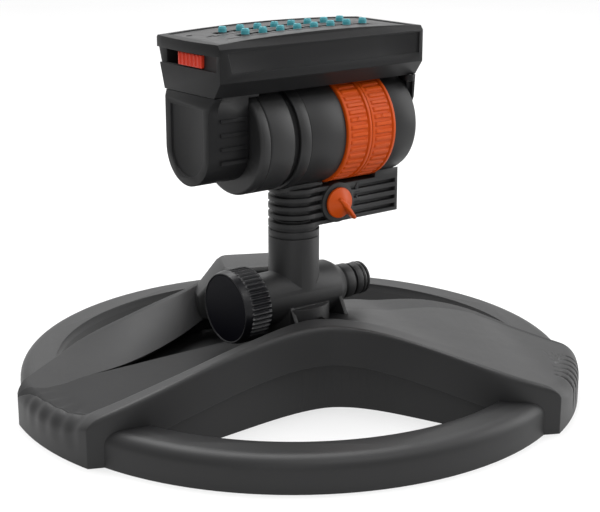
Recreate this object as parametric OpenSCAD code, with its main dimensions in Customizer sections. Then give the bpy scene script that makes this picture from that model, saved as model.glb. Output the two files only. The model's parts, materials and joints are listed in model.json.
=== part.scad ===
// Oscillating sprinkler: a turbine-driven spray bar that swings about a fixed barrel,
// carried by a ribbed arm and a tee on a saddle over a ring foot.
// The base stands on Z = 0 with the ring's centre at the origin and its feet along X.
// The upper works are drawn with the barrel along X and turned by head_yaw.

/* [Base] */
// Outer diameter of the ring foot
ring_d = 290; // [250:1:350]
// Radial width of the ring
ring_w = 18.7; // [15:0.1:24]
// Height of the ring
ring_h = 17.5; // [14:0.5:22]
// Wall of the moulded base parts
base_wall = 2.4; // [1.8:0.1:3]
// How far the saddle's feet stand out past the ring
foot_lip = 6; // [4:0.5:10]
// Height of the saddle's feet
foot_h = 20.5; // [19:0.5:26]
// Height of the saddle's ridge at its middle
ridge_h = 44.5; // [36:0.5:48]
// Height of the skirt under the ridge
skirt_h = 20.3; // [14:0.1:24]
// Width of the front rail's top
rail_w = 11; // [8:0.5:16]
// Height of the recess floor behind the front rail
floor_h = 22; // [16:0.5:26]
// Angle from the base's length to the barrel
head_yaw = 28; // [0:1:40]

/* [Tee] */
// Height of the pipe's axis
pipe_z = 48.8; // [47:0.1:58]
// Outer radius of the pipe
pipe_r = 14; // [12:0.1:16]
// Wall of the pipe and the column
pipe_wall = 2.6; // [2:0.1:3.5]
// Radius of the hose nipple's flange
nipple_r = 8.9; // [8:0.1:10]
// Where the nipple ends along the pipe
nipple_end = 47.1; // [44:0.1:56]
// Radius of the screw cap
cap_r = 19.4; // [18:0.1:24]
// Length of the screw cap
cap_len = 16.2; // [14:0.1:20]
// Where the cap's inner end lies along the pipe
cap_x = -28.8; // [-34:0.1:-26]
// Outer radius of the column
column_r = 13.46; // [12:0.01:16]

/* [Arm] */
// Height of the seam between the column and the arm
seam_z = 81; // [76:0.5:83]
// Bottom of the arm
arm_bottom = 87.2; // [84:0.1:89]
// Top of the arm
arm_top = 107.3; // [104:0.1:107.5]
// Half of the arm's thickness
arm_half = 12.7; // [11:0.1:15]
// Where the arm ends
arm_end = 61.4; // [58:0.1:72]
// Distance between the arm's grooves
groove_pitch = 4.55; // [4:0.05:5]
// Height of one groove
groove_h = 2.2; // [1.4:0.1:2.6]
// Depth of one groove
groove_depth = 3; // [1.5:0.1:3.5]
// Distance of the flow knob from the column's axis
knob_x = 18.9; // [17:0.1:21]
// Height of the flow knob's axis
knob_z = 97.8; // [96:0.1:99]
// Radius of the flow knob
knob_r = 8.6; // [7:0.1:9]

/* [Barrel] */
// Height of the barrel's axis
barrel_z = 135.9; // [135.5:0.1:142]
// Outer radius of the barrel
barrel_r = 27.7; // [25:0.1:28.2]
// Wall of the barrel
barrel_wall = 2.6; // [2:0.1:3.2]
// Left end of the gear housing
housing_x0 = -35.3; // [-36:0.1:-34]
// Left end of the left range ring
range_x0 = 12.8; // [12:0.1:14]
// Width of one range ring
range_w = 15; // [14:0.1:15.5]
// Gap between the two range rings
range_gap = 2; // [1.5:0.1:3]
// Outer radius of the range rings
range_r = 28.8; // [28.4:0.1:29.2]

/* [Gears] */
// Module of the gears
gear_m = 1; // [0.9:0.05:1.05]
// Teeth of each sun wheel
sun_teeth = 12; // [12]
// Teeth of each planet wheel
planet_teeth = 12; // [12]
// Width of one wheel
gear_w = 6; // [4:0.5:7]

/* [Bar] */
// Half of the spray bar's length
bar_half = 64.5; // [60:0.1:80]
// Front face of the bar at its middle
bar_front = 28.2; // [25:0.1:32]
// Rear face of the bar
bar_rear = 27; // [24:0.1:32]
// Underside of the bar
bar_z0 = 162; // [161:0.1:164]
// Top of the bar at its middle
bar_top = 190.1; // [188:0.1:196]
// How far the bar's front bows out
bar_bow = 1.5; // [1:0.1:5]
// Wall of the bar
bar_wall = 2.2; // [1.8:0.1:3]
// Nozzles in each row
nozzle_count = 8; // [6:1:8]
// Distance between nozzles in a row
nozzle_pitch = 10.75; // [9:0.05:11.5]
// Distance of each row from the bar's middle
nozzle_row = 7; // [6:0.1:8]
// Height of a nozzle's tip over the bar
nozzle_rise = 1.6; // [1:0.1:3]
// Outer end of the left cheek
cheek_end = 65.2; // [64:0.1:82]
// Inner face of the left cheek
cheek_in = 41.4; // [41.2:0.1:44]
// Thickness of the right cheek
cheek_t = 2.8; // [2:0.1:4]

/* [Hidden] */
$fn = 96;
seat = 0.2;            // clearance of seated parts
run = 0.05;            // radial clearance of a shaft in its bore
gap = 0.4;             // clearance between moving parts
eps = 0.01;
body_grey = [0.13, 0.13, 0.14];
dark_grey = [0.06, 0.06, 0.07];
orange = [0.9, 0.25, 0.05];
teal = [0.1, 0.6, 0.62];
steel = [0.7, 0.7, 0.72];
white = [0.85, 0.85, 0.83];

// ---- base: plan of the saddle ----
ring_r = ring_d / 2;
ring_in = ring_r - ring_w;
foot_r = ring_r + foot_lip;
saddle_front = 98.5;   // front face of the feet
waist_front = 47.6;    // front face at the waist
waist_x = 10.8;        // the waist lies off the middle
foot_back = 36.5;      // back corner of the feet
rear_y = 57;           // back face behind the tee
edge_r = 3;            // rounding of the saddle's edges
rear_rail = 4.6;       // width of the rear rail
hump_h = 56;           // top of the block behind the tee
front_x = sqrt(foot_r * foot_r - saddle_front * saddle_front);
back_x = sqrt(foot_r * foot_r - foot_back * foot_back);
stations = 36;
front_part = 28;       // stations along the front face, the rest go round the feet

// smooth step from 0 at a to 1 at b
function blend(a, b, x) =
    let (t = min(1, max(0, (x - a) / (b - a)))) t * t * (3 - 2 * t);
// point on a smooth curve through the list p, at t from 0 to its last index
function spline(p, t) =
    let (n = len(p) - 1, i = min(n - 1, floor(t)), f = t - i,
         a = p[max(0, i - 1)], b = p[i], c = p[i + 1], d = p[min(n, i + 2)])
    0.5 * (2 * b + (c - a) * f + (2 * a - 5 * b + 4 * c - d) * f * f
           + (3 * b - a - 3 * c + d) * f * f * f);
// front face of the saddle: a waist between two straight ends
function front_y(x) =
    let (left = x < waist_x, w = (left ? 1.0 : 0.83) * front_x + (left ? waist_x : -waist_x / 3),
         t = min(1, pow(abs(x - waist_x) / w, left ? 0.83 : 0.95)))
    -saddle_front + (saddle_front - waist_front) * (0.5 + 0.5 * cos(180 * t));
// back edge: from a foot's back corner in over the ring to the middle
back_half = [
    [back_x, -foot_back], [ring_in - 1, 2], [ring_in - 14, 21], [ring_in - 36, 29],
    [58, 44], [42, rear_y - 1], [22, rear_y + 1], [0, rear_y + 1]
];
foot_a = atan2(saddle_front, front_x);
back_a = atan2(foot_back, back_x);
// front outline at u from -1 (left back corner) to 1 (right back corner)
function front_pt(u) =
    let (s = abs(u) / (front_part / stations),
        a = foot_a - (foot_a - back_a) * (s - 1) / (stations / front_part - 1))
    s <= 1 ? [sign(u) * s * front_x, front_y(sign(u) * s * front_x)]
           : [sign(u) * foot_r * cos(a), -foot_r * sin(a)];
// back edge at a distance along the base, for what is fastened near it
function back_y(x) = lookup(abs(x), [for (i = [len(back_half) - 1 : -1 : 0]) back_half[i]]);
function back_pt(u) =
    let (p = spline(back_half, (1 - abs(u)) * (len(back_half) - 1)))
    [sign(u) * p[0], p[1]];
// height of the ridge along the base
function ridge(x) =
    let (s = 1 - pow(x / (0.815 * ring_r), 2))
    foot_h + (ridge_h - foot_h) * (s + sqrt(s * s + 0.01)) / 2;
// lower edge of the skirt: a constant band under the ridge, down to the ground at the feet
function skirt_z(x) =
    max(0, (ridge(x) - skirt_h)) * (1 - blend(0.60 * ring_r, 0.72 * ring_r, abs(x)));
// 0 on the open left side, 1 where the rail has merged into the closed right side
function closed(x) = blend(-8, 30, x);

// how far the back edge lies under the ridge: the hose passes over the right side
function back_drop(x) = 19 * (1 - blend(0.17 * ring_r, 0.69 * ring_r, x)) * closed(x);
// lower edge of the skirt along the back
function rear_low(x) = max(0, min(skirt_z(x) - back_drop(x), floor_h - 2 * base_wall - 1));
// rear edge of the recess floor, as a distance from the base's length
floor_edge = [[-0.95, -45], [-0.84, -39], [-0.69, -26.5], [-0.5, -5.5], [-0.36, 7], [-0.2, 12],
    [0.1, 14], [1, 14]];
function floor_y(x) = lookup(x / ring_r, floor_edge);
// share of a section's length at which it reaches the height y, kept off both walls
function reach(f, d, y, lo, hi) = min(hi, max(lo, (y - f[1]) / max(d[1], 1) * norm(d)));

// section of the saddle between the front and the back outline, from the skirt's front edge
// over the rail, the recess floor, the open pocket and the rear rail to its back edge,
// then back along the inside of the wall
function section(u) =
    let (f = front_pt(u), b = back_pt(u), d = b - f, l = max(norm(d), 2), n = d / l,
         e = min(edge_r, l / 8), w = min(base_wall, l / 10), k = min(1, l / 45), c = closed(f[0]),
         foot = blend(0.80 * ring_r, 0.93 * ring_r, abs(f[0])),
         zf = ridge(f[0]), zr = ridge(b[0]) - back_drop(b[0]), 
         zb = rear_low(b[0]),
         rail = min(rail_w + 8 * blend(-35, 20, f[0]), l * 0.25), back = min(rear_rail, l * 0.12),
         v = reach(f, d, floor_y(f[0]), rail + 8 * k, l - back - 3 * k),
         fl = min(floor_h, zf - 1.2), open = (1 - c) * (1 - foot),
         // heights on the closed side and on the feet
         h = [for (q = [rail, rail + 3 * k, v, l - back]) zf + (zr - zf) * pow(q / l, 1.4)],
         z1 = open * fl + (1 - open) * h[1], z2 = open * fl + (1 - open) * h[2],
         z3 = open * (zb + w) + (1 - open) * h[3], z0 = open * zf + (1 - open) * h[0])
    [for (q = [
        [0, skirt_z(f[0])], [0, zf - e], [e * 0.29, zf - e * 0.29], [e, zf],
        [rail - e * 0.7, zf * open + (1 - open) * h[0]], [rail - e * 0.2, z0 - e * 0.2 * open],
            [rail, z0 - e * 0.7 * open],
        [rail + k, z1 + 2 * open], [rail + 3 * k, z1],
        [v - k, z2], [v, z2 - open], [v + open + 0.3 * k, open * (zb + w) + (1 - open) * (z2 - 0.1)],
        [l - back, z3], [l - back, zr - e * 0.4 * open], [l - back + k, zr],
        [l - e * 0.7, zr], [l - e * 0.2, zr - e * 0.2], [l, zr - e], [l, zb],
        [l - w, zb], [l - w - eps, zb * open + (zr - e - w) * (1 - open) + eps], [l - back - w, z3 - w],
        [v - w, zb * open + (z2 - w) * (1 - open)], [v - w - 0.5 * k, z2 - w], [rail + 3 * k, z1 - w],
        [rail - w + 0.5 * k, z1 - w], [rail - w, z0 - w - eps],
        [e + w, zf - w], [w, zf - e - w], [w, skirt_z(f[0])]
    ]) [f[0] + n[0] * q[0], f[1] + n[1] * q[0], max(q[1], 0)]];
// plan of the open pocket between the recess floor and the rear rail
module pocket_plan() {
    us = [for (i = [0 : 14]) -0.78 + i * 0.039];
    function pocket_edge(u, side) =
        let (s = section(u), p = s[side > 0 ? 12 : 11]) [p[0], p[1] - side * eps];
    polygon(concat([for (u = us) pocket_edge(u, -1)],
                   [for (i = [14 : -1 : 0]) pocket_edge(us[i], 1)]));
}

// closed solid through a list of equal sections
module loft(s) {
    m = len(s[0]);
    k = len(s);
    polyhedron(
        points = [for (r = s) each r],
        faces = concat(
            [for (i = [0 : k - 2], j = [0 : m - 1]) each [
                [i * m + j, i * m + (j + 1) % m, (i + 1) * m + (j + 1) % m],
                [i * m + j, (i + 1) * m + (j + 1) % m, (i + 1) * m + j]]],
            [[for (j = [m - 1 : -1 : 0]) j]],
            [[for (j = [0 : m - 1]) (k - 1) * m + j]]),
        convexity = 8);
}

// quarter-round profile of the ring, grown by c for the clearance round it
module ring_shape(c = 0) {
    r = 7;
    translate([ring_in - c, -c]) square([ring_w - r + c, ring_h + 2 * c]);
    translate([ring_r - r - 1, -c]) square([r + 1 + c, ring_h - r + c]);
    translate([ring_r - r, ring_h - r]) circle(r + c);
}
module ring_hollow() {
    w = base_wall;
    r = 7 - w;
    lip = 4.5;
    translate([ring_in - 1, -1]) square([1 + w, ring_h - lip + 1]);
    translate([ring_in + 2 * w, -1]) square([ring_w - 3 * w - r, ring_h - w + 1]);
    translate([ring_r - w - r - 1, -1]) square([r + 1, ring_h - w - r + 1]);
    translate([ring_r - w - r, ring_h - w - r]) circle(r);
}
module base_ring() {
    ribs = 24;
    color(body_grey) {
        rotate_extrude($fn = 180) difference() {
            ring_shape();
            ring_hollow();
        }
        for (i = [0 : ribs - 1])
            rotate((i + 0.5) * 360 / ribs)
                translate([ring_in + 1.5 * base_wall, -0.8, 1])
                    cube([ring_w - 2.3 * base_wall, 1.6, ring_h - 8]);
    }
}

// grooves across the outer edge of a foot
module foot_grooves(side) {
    // short cuts on the right foot, soft hollows between ridges over the left foot's shoulder
    if (side > 0)
        for (i = [0 : 5]) rotate(-20 - i * 2.6)
            hull() {
                translate([foot_r - 15 + i, 0, foot_h + 1.5]) sphere(r = 0.5, $fn = 6);
                translate([foot_r - edge_r, 0, foot_h]) sphere(r = 0.9, $fn = 6);
                translate([foot_r - 0.4, 0, foot_h - 4]) sphere(r = 0.7, $fn = 6);
            }
    else
        for (i = [0 : 5], k = [0 : 3]) rotate(180 + 21.4 + i * 3.3)
            hull() {
                hollow_at(k);
                hollow_at(k + 1);
            }
}
module hollow_at(k) {
    // one ball of the row that follows the shoulder, 0.8 deep
    path = [[-11, 3.1], [-edge_r, 1.8], [0.4, 0.4], [1.8, -edge_r], [2.4, -10]];
    translate([foot_r + path[k][0], 0, foot_h + path[k][1]]) sphere(r = 2.6, $fn = 10);
}
module saddle_cover() {
    color(body_grey) difference() {
        union() {
            loft([for (i = [-stations : stations]) section(i / stations * 0.995)]);
            hump();
        }
        rotate_extrude($fn = 72) ring_shape(seat + 0.1);
        foot_grooves(1);
        foot_grooves(-1);
        translate([0, 0, -1]) linear_extrude(height = ridge_h) pocket_plan();
        upper() {
            translate([0, 0, floor_h - 14]) cylinder(r = plinth_r + seat, h = 40, $fn = 48);
            tube_x(-60, 90, pipe_r + 1.5, 0, pipe_z, $fn = 48);
            tee_gussets(seat);
        }
    }
}
// block behind the tee that the rear rail runs into
module hump() {
    difference() {
        hull() {
            for (x = [-30, 12], y = [30, rear_y - 6])
                translate([x, y, 0]) cylinder(r = 5, h = hump_h - 2, $fn = 16);
            for (x = [-28, 10], y = [32, rear_y - 8])
                translate([x, y, hump_h - 3]) cylinder(r = 5, h = 3, $fn = 16);
            translate([-44, 36, 0]) cylinder(r = 4, h = ridge_h - 6, $fn = 16);
            translate([-44, rear_y - 8, 0]) cylinder(r = 4, h = ridge_h - 6, $fn = 16);
        }
        translate([-60, 0, -1]) cube([90, rear_y + 10, ridge_h - skirt_h + 1]);
        translate([-38, 33, 0]) cube([44, rear_y - 40, ridge_h - 4]);
    }
}
// point at a distance d along a section, from its front for d > 0 and from its back for d < 0
function across(u, d) =
    let (f = front_pt(u), b = back_pt(u), n = (b - f) / max(norm(b - f), 2))
    d > 0 ? f + n * d : b + n * d;
frame_us = [for (i = [-26 : 26]) i / stations];
// plan between two distances across the sections
module across_plan(d0, d1) {
    polygon(concat([for (u = frame_us) across(u, d0)],
                   [for (i = [len(frame_us) - 1 : -1 : 0]) across(frame_us[i], d1)]));
}
module below_skirt(side, lift = -1.5) {
    // everything that the frame may fill: up inside the front skirt, and near to the rear rail
    y0 = side < 0 ? -ring_r : 0;
    xs = [for (i = [-20 : 20]) i / 20 * ring_in];
    translate([0, y0 + ring_r, 0]) rotate([90, 0, 0]) linear_extrude(height = ring_r)
        polygon(concat([[-ring_in, -1]],
                       [for (x = xs) [x, side < 0 ? ridge(x) - skirt_h + 5 : rear_low(x) + lift]],
                       [[ring_in, -1]]));
}
module saddle_frame() {
    inset = base_wall + 0.6;
    color(dark_grey) for (side = [-1, 1]) difference() {
        union() {
            intersection() {
                linear_extrude(height = ridge_h) intersection() {
                    across_plan(-side * inset, -side * (inset + base_wall));
                    circle(r = ring_in - seat, $fn = 90);
                }
                below_skirt(side);
            }
            // dark web behind the open pocket
            if (side > 0) intersection() {
                linear_extrude(height = ridge_h) intersection() {
                    polygon(concat([for (i = [-24 : -11]) across(i / stations, -rear_rail - 0.5)],
                                   [for (i = [-11 : -1 : -24]) across(i / stations, -rear_rail - 2.1)]));
                    circle(r = ring_in - seat, $fn = 90);
                }
                below_skirt(side, 4);
            }
            for (x = [-screw_x, screw_x]) intersection() {
                translate([x, screw_y(x, side), 1]) {
                    cylinder(r = 5, h = boss_z + 7);
                    translate([-1, -14, 0]) cube([2, 28, boss_z + 5]);
                }
                linear_extrude(height = ridge_h) across_plan(inset + eps, -inset - eps);
            }
        }
        base_screw_places() {
            translate([0, 0, -1]) cylinder(r = 3.3, h = boss_z + 1);
            cylinder(r = 1.6, h = 40);
        }
    }
}
function screw_y(x, side) = side < 0 ? front_y(x) + base_wall + 8 : back_y(x) - base_wall - 8;
// where the frame is screwed up into the cover
module base_screw_places() {
    for (x = [-screw_x, screw_x]) {
        translate([x, screw_y(x, -1), 0]) children();
        translate([x, screw_y(x, 1), 0]) children();
    }
}
module base_screws() {
    color(steel) base_screw_places() translate([0, 0, boss_z]) {
        translate([0, 0, -2]) cylinder(r = 3, h = 2 - eps);
        cylinder(r = 1.5, h = 9);
    }
}

// ---- upper works ----
module upper() {
    rotate(head_yaw) children();
}
// cylinder or tube along the barrel's direction
module tube_x(x, l, r, r0 = 0, z = barrel_z) {
    translate([x, 0, z]) rotate([0, 90, 0]) difference() {
        cylinder(r = r, h = l);
        if (r0 > 0) translate([0, 0, -1]) cylinder(r = r0, h = l + 2);
    }
}
// turned body along the barrel's direction, its half profile drawn as [distance, radius]
module turned_x(z = barrel_z) {
    translate([0, 0, z]) rotate([0, 90, 0]) rotate_extrude() rotate(90) mirror([0, 1]) children();
}
module o_ring(x, r, t, z) {
    translate([x, 0, z]) rotate([0, 90, 0]) rotate_extrude() translate([r, 0]) circle(r = t, $fn = 24);
}

// plates across the pipe that stiffen it over the saddle, grown by c for their slots
module tee_gussets(c = 0) {
    for (x = [-plinth_r + 7, plinth_r + 2])
        translate([x, 0, 0]) rotate([90, 0, 90]) linear_extrude(height = 2.2 + 2 * c, center = true)
            polygon([[-plinth_r - 3 - c, floor_h + 9 - c], [plinth_r + 3 + c, floor_h + 9 - c],
                     [pipe_r - 2, pipe_z], [2 - pipe_r, pipe_z]]);
}
module tee_foot() {
    translate([0, 0, floor_h - 6]) cylinder(r = plinth_r, h = pipe_z - floor_h + 2);
    tee_gussets();
}
module tee_body() {
    neck_r = nipple_r - 2.4;
    color(body_grey) upper() difference() {
        union() {
            tube_x(cap_x, nipple_neck - 8 - cap_x, pipe_r, 0, pipe_z);
            tube_x(cap_x - thread_len, thread_len + 1, pipe_r - 1.6, 0, pipe_z);
            turned_x(pipe_z) polygon([
                [nipple_neck - 9, 0], [nipple_neck - 9, pipe_r], [nipple_neck - 8, pipe_r],
                    [nipple_neck - 5, pipe_r - 1.5],
                [nipple_neck - 1, nipple_r + 1], [nipple_neck, nipple_r - 0.4],
                    [nipple_neck + 1, nipple_r + 0.6],
                [nipple_neck + 6, nipple_r + 0.6], [nipple_neck + 6.5, neck_r], [nipple_neck + 8, neck_r],
                [nipple_neck + 8, nipple_r], [nipple_end - 5.2, nipple_r], [nipple_end - 5.2, neck_r],
                [nipple_end - 2.1, neck_r], [nipple_end - 2.1, nipple_r], [nipple_end - 1, nipple_r],
                [nipple_end, nipple_r - 1], [nipple_end, 0]]);
            translate([0, 0, pipe_z]) cylinder(r = column_r, h = seam_z - pipe_z);
            translate([0, 0, seam_z - 1]) cylinder(r = spigot_r, h = socket_len + 1);
            tee_foot();
        }
        tube_x(cap_x - thread_len - 1, thread_len - cap_x + nipple_neck - 10, bore_r, 0, pipe_z);
        tube_x(0, nipple_end + 1, neck_r - 2, 0, pipe_z);
        translate([0, 0, pipe_z]) cylinder(r = column_bore, h = seam_z);
        translate([0, 0, seam_z + socket_len - 4.4])
            rotate_extrude() translate([spigot_r - 1.5, 0]) square([3, 2.2]);
        tee_screw_places() translate([0, 0, floor_h - 10]) cylinder(r = 1.4, h = 14);
    }
}
module tee_screw_places() {
    for (a = [45 : 90 : 315]) rotate(a) translate([plinth_r - 4, 0, 0]) children();
}
module hose_o_ring() {
    t = 1.28;
    color([0.02, 0.02, 0.02]) upper() o_ring(nipple_end - 3.65, nipple_r - 2.4 + t + run, t, pipe_z);
}
module filter_screen() {
    // strainer tube with a slotted wall, closed at its far end, with a rim that the cap holds
    r = bore_r - 1.2;
    x0 = cap_x - thread_len + 1;
    l = -x0 - column_bore - 1;
    bars = 12;
    color(white) upper() {
        tube_x(x0, 2, bore_r - seat, r - 1.2, pipe_z);
        tube_x(x0 + l - 2, 2, r, 0, pipe_z);
        for (i = [0 : bars - 1])
            translate([x0 + 1.5, 0, pipe_z]) rotate([i * 360 / bars, 0, 0])
                translate([0, -0.7, r - 1.2]) cube([l - 3, 1.4, 1.1]);
        for (i = [1 : 4]) tube_x(x0 + i * l / 5, 1, r - 0.2, r - 1.1, pipe_z);
    }
}
module end_cap() {
    // screw cap with a knurled skirt and a sunk face
    ribs = 50;
    front = cap_x - cap_len;
    color(dark_grey) upper() difference() {
        union() {
            turned_x(pipe_z) polygon(concat(
                [[front + 2, 0], [front + 1.4, cap_r * 0.70], [front + 0.2, cap_r * 0.74]],
                [for (a = [90 : -15 : 0]) [front + 4 * (1 - sin(a)), cap_r - 0.5 - 4 * (1 - cos(a))]],
                [[cap_x, cap_r - 0.7], [cap_x, 0]]));
            for (i = [0 : ribs - 1])
                translate([front + 4.2, 0, pipe_z]) rotate([i * 360 / ribs, 0, 0])
                    translate([0, -0.55, cap_r - 1.2]) cube([cap_len - 5, 1.1, 1.2]);
        }
        tube_x(cap_x - thread_len - 0.4, thread_len + 2, pipe_r - 1.6 + seat, 0, pipe_z);
        tube_x(cap_x - 2, 3, pipe_r + 2.5, 0, pipe_z);
    }
}
module cap_seal() {
    color([0.02, 0.02, 0.02]) upper() tube_x(cap_x - 1.8, 1.6, pipe_r + 2.2, pipe_r - 1.6 + seat, pipe_z);
}
module column_seal() {
    color([0.02, 0.02, 0.02]) upper() translate([0, 0, seam_z + socket_len - 3.3])
        rotate_extrude() translate([spigot_r - 0.5, 0]) circle(r = 0.65, $fn = 24);
}

// ---- arm ----
module groove_box(x0, x1, y0, y1) {
    for (i = [0 : 3])
        translate([x0, y0, arm_top - 3.4 - groove_h / 2 - i * groove_pitch])
            cube([x1 - x0, y1 - y0, groove_h]);
}
module arm() {
    color(body_grey) upper() difference() {
        union() {
            translate([0, 0, seam_z + 0.3]) cylinder(r = column_r, h = arm_top - seam_z - 0.3);
            translate([0, -arm_half, arm_bottom]) cube([arm_end, 2 * arm_half, arm_top - arm_bottom]);
            translate([pylon_x, -arm_half, arm_top - 1])
                cube([arm_end - pylon_x, 2 * arm_half, barrel_z - arm_top]);
            translate([-column_r + 1, -9, arm_top - 1])
                cube([column_r + range_x0 - 2, 18, barrel_z - arm_top]);
            translate([knob_x, 0, knob_z]) rotate([90, 0, 0]) cylinder(r = knob_r + 2, h = arm_half + 1);
        }
        // the barrel's seat, and room for the turning rings and the clamp ring
        tube_x(-40, 120, barrel_r + seat);
        tube_x(range_x0 - gap, range_x1 - range_x0 + 2 * gap, range_r + gap);
        tube_x(-40, clamp_x1 + 40 + seat, barrel_r + 0.4 + seat);
        // grooves between the ribs, round the column and along both faces
        difference() {
            groove_box(-20, arm_end - 1.8, -arm_half - 3, arm_half + 3);
            translate([0, 0, seam_z]) cylinder(r = column_r - groove_depth, h = 40);
            translate([0, groove_depth - arm_half, seam_z])
                cube([pylon_x + 20, 2 * (arm_half - groove_depth), 40]);
            translate([knob_x, 0, knob_z]) rotate([90, 0, 0])
                cylinder(r = knob_r + 2, h = 60, center = true);
            translate([knob_x - 6, -arm_half - 3, seam_z]) cube([17, 2 * arm_half + 6, knob_z - seam_z]);
        }
        // the groove just over the seam
        difference() {
            translate([0, 0, arm_bottom - 2.4]) cylinder(r = 30, h = 1.4);
            translate([0, 0, 0]) cylinder(r = column_r - 1.2, h = 200);
        }
        // socket for the column, water way, valve bore and the riser in the pylon
        translate([0, 0, seam_z - 1]) cylinder(r = spigot_r + seat, h = socket_len + 1.5);
        translate([0, 0, seam_z]) cylinder(r = 6, h = knob_z - seam_z);
        tube_x(0, arm_end - 8, 5, 0, knob_z);
        translate([knob_x, 0, knob_z]) rotate([90, 0, 0])
            cylinder(r = valve_r + run, h = 2 * arm_half + 10, center = true);
        translate([arm_end - 9, 0, knob_z]) cylinder(r = 4, h = 30);
    }
}
module flow_knob() {
    face = arm_half + 1 + gap;
    color(orange) upper() translate([knob_x, -face, knob_z]) rotate([90, 0, 0]) {
        difference() {
            cylinder(r = knob_r, h = 4);
            translate([0, 0, -1]) cylinder(r = 2.5 + seat, h = 3.5);
        }
        translate([0, 0, 4 - eps]) cylinder(r1 = knob_r - 0.2, r2 = knob_r - 1.6, h = 1.2);
        // pointer: a wedge across the knob that ends in a nose
        rotate(-40) hull() {
            translate([-4.4, 0, 4]) cylinder(r = 2.4, h = 3.6, $fn = 32);
            translate([2, 0, 4]) cylinder(r = 3.4, h = 3.6, $fn = 32);
            translate([knob_r + 7.4, 0, 2.4]) cylinder(r = 1.5, h = 3.4, $fn = 32);
        }
    }
}
module valve_spool() {
    color(white) upper() translate([knob_x, 0, knob_z]) rotate([90, 0, 0]) difference() {
        union() {
            cylinder(r = valve_r, h = 2 * arm_half - 2, center = true);
            cylinder(r = 2.5, h = arm_half + 1 + gap + 2);
        }
        rotate([0, 90, 0]) cylinder(r = 4.4, h = 30, center = true);
        for (z = [-arm_half + 3, arm_half - 5])
            translate([0, 0, z]) rotate_extrude() translate([valve_r - 1.2, 0]) square([2, 1.8]);
    }
}
module valve_seal() {
    color([0.02, 0.02, 0.02]) upper() translate([knob_x, 0, knob_z]) rotate([90, 0, 0])
        for (z = [-arm_half + 3.9, arm_half - 4.1])
            translate([0, 0, z]) rotate_extrude() translate([valve_r - 0.6, 0]) circle(r = 0.55, $fn = 20);
}

// ---- barrel ----
module gear_housing() {
    groove = barrel_r - 1.8;
    color(body_grey) upper() difference() {
        turned_x() polygon([
            [housing_x0, 0], [housing_x0, barrel_r - 1], [housing_x0 + 1, barrel_r],
            [collar_x, barrel_r], [collar_x, groove], [clamp_x1 + 0.3, groove],
            [clamp_x1 + 0.3, barrel_r], [range_x0 - 0.4, barrel_r], [range_x0 - 0.4, 0]]);
        tube_x(housing_x0 + 4, 100, inner_r, 0);
        tube_x(housing_x0 - 1, 10, hub_r + run, 0);
        tube_x(housing_x0 + 1.2, 1.8, hub_r + 2, 0);
    }
}
module clamp_ring() {
    // band that holds the housing's halves, with two screw lugs underneath
    color(body_grey) upper() {
        tube_x(clamp_x0, clamp_x1 - clamp_x0, barrel_r + 0.4, barrel_r - 1.8 + seat);
    }
}
module pivot_collar() {
    // rounded collar between the housing and the swinging cheek
    color(body_grey) upper() difference() {
        turned_x() polygon(concat([[-cheek_in + gap, 0]],
            [for (a = [90 : -15 : 0]) [-cheek_in + gap + 2 * (1 - sin(a)), barrel_r - 2 * (1 - cos(a))]],
            [[housing_x0 - seat, barrel_r], [housing_x0 - seat, 0]]));
        tube_x(-80, 80, hub_r + run, 0);
    }
}
module end_housing() {
    // closed end of the barrel, with the sleeve that carries the two range rings
    color(body_grey) upper() difference() {
        union() {
            turned_x() polygon([
                [range_x1 + gap, 0], [range_x1 + gap, barrel_r], [arm_end - 2.5, barrel_r],
                    [arm_end - 0.7, barrel_r - 0.7],
                [arm_end, barrel_r - 2.5], [arm_end, 0]]);
            tube_x(range_x0 - 3, range_x1 + 4 - range_x0, sleeve_r, 0);
            tube_x(range_x0 - 4, 3.6, inner_r - seat, 0);
            tube_x(arm_end - 1, 1 + gap + cheek_t + 0.6, pivot_r, 0);
        }
        tube_x(range_x0 - 10, arm_end - range_x0 + 7, sleeve_r - barrel_wall, 0);
        translate([arm_end - 9, 0, barrel_z - barrel_r - 2]) cylinder(r = 4, h = 12);
    }
}
// range ring: two raised rims with grip ribs between them, and a pointer on one rim
module range_ring(x, side) {
    ribs = 44;
    w = range_w;
    translate([x, 0, 0]) {
        turned_x() polygon([
            [0, sleeve_r + run], [0, range_r - 0.4], [0.4, range_r], [1.6, range_r], [2, range_r - 0.9],
            [w - 2, range_r - 0.9], [w - 1.6, range_r], [w - 0.4, range_r], [w, range_r - 0.4],
            [w, sleeve_r + run]]);
        for (i = [0 : ribs - 1])
            translate([1.5, 0, barrel_z]) rotate([i * 360 / ribs, 0, 0])
                translate([0, -0.6, range_r - 1.4]) cube([w - 3, 1.2, 1.15]);
    }
}
module left_range_ring() {
    color(orange) upper() range_ring(range_x0 + gap / 2, 1);
}
module right_range_ring() {
    color(orange) upper() range_ring(range_x0 + gap / 2 + range_w + range_gap, -1);
}

// ---- drive ----
function teeth_pts(n, m, grow) =
    let (p = n * m / 2)
    [for (i = [0 : n - 1],
        q = [[-0.27, -1.15], [-0.2, -0.1], [-0.11, 0.85], [0.11, 0.85], [0.2, -0.1], [0.27, -1.15]])
        let (a = (i + q[0] * (q[1] < -1 ? 1 : grow)) * 360 / n, r = p + q[1] * m) [r * cos(a), r * sin(a)]];
module gear(n, w, bore) {
    difference() {
        linear_extrude(height = w) polygon(teeth_pts(n, gear_m, 0.9));
        translate([0, 0, -1]) cylinder(r = bore, h = w + 2);
    }
}
module on_axis(x) {
    translate([x, 0, barrel_z]) rotate([0, 90, 0]) children();
}
sun_r = sun_teeth * gear_m / 2;
planet_r = planet_teeth * gear_m / 2;
ring_teeth = sun_teeth + 2 * planet_teeth;
orbit = sun_r + planet_r;
stage_1 = range_x0 - gear_w - 6;
stage_2 = stage_1 - gear_w - 6;
shaft_r = 1.5;
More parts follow.
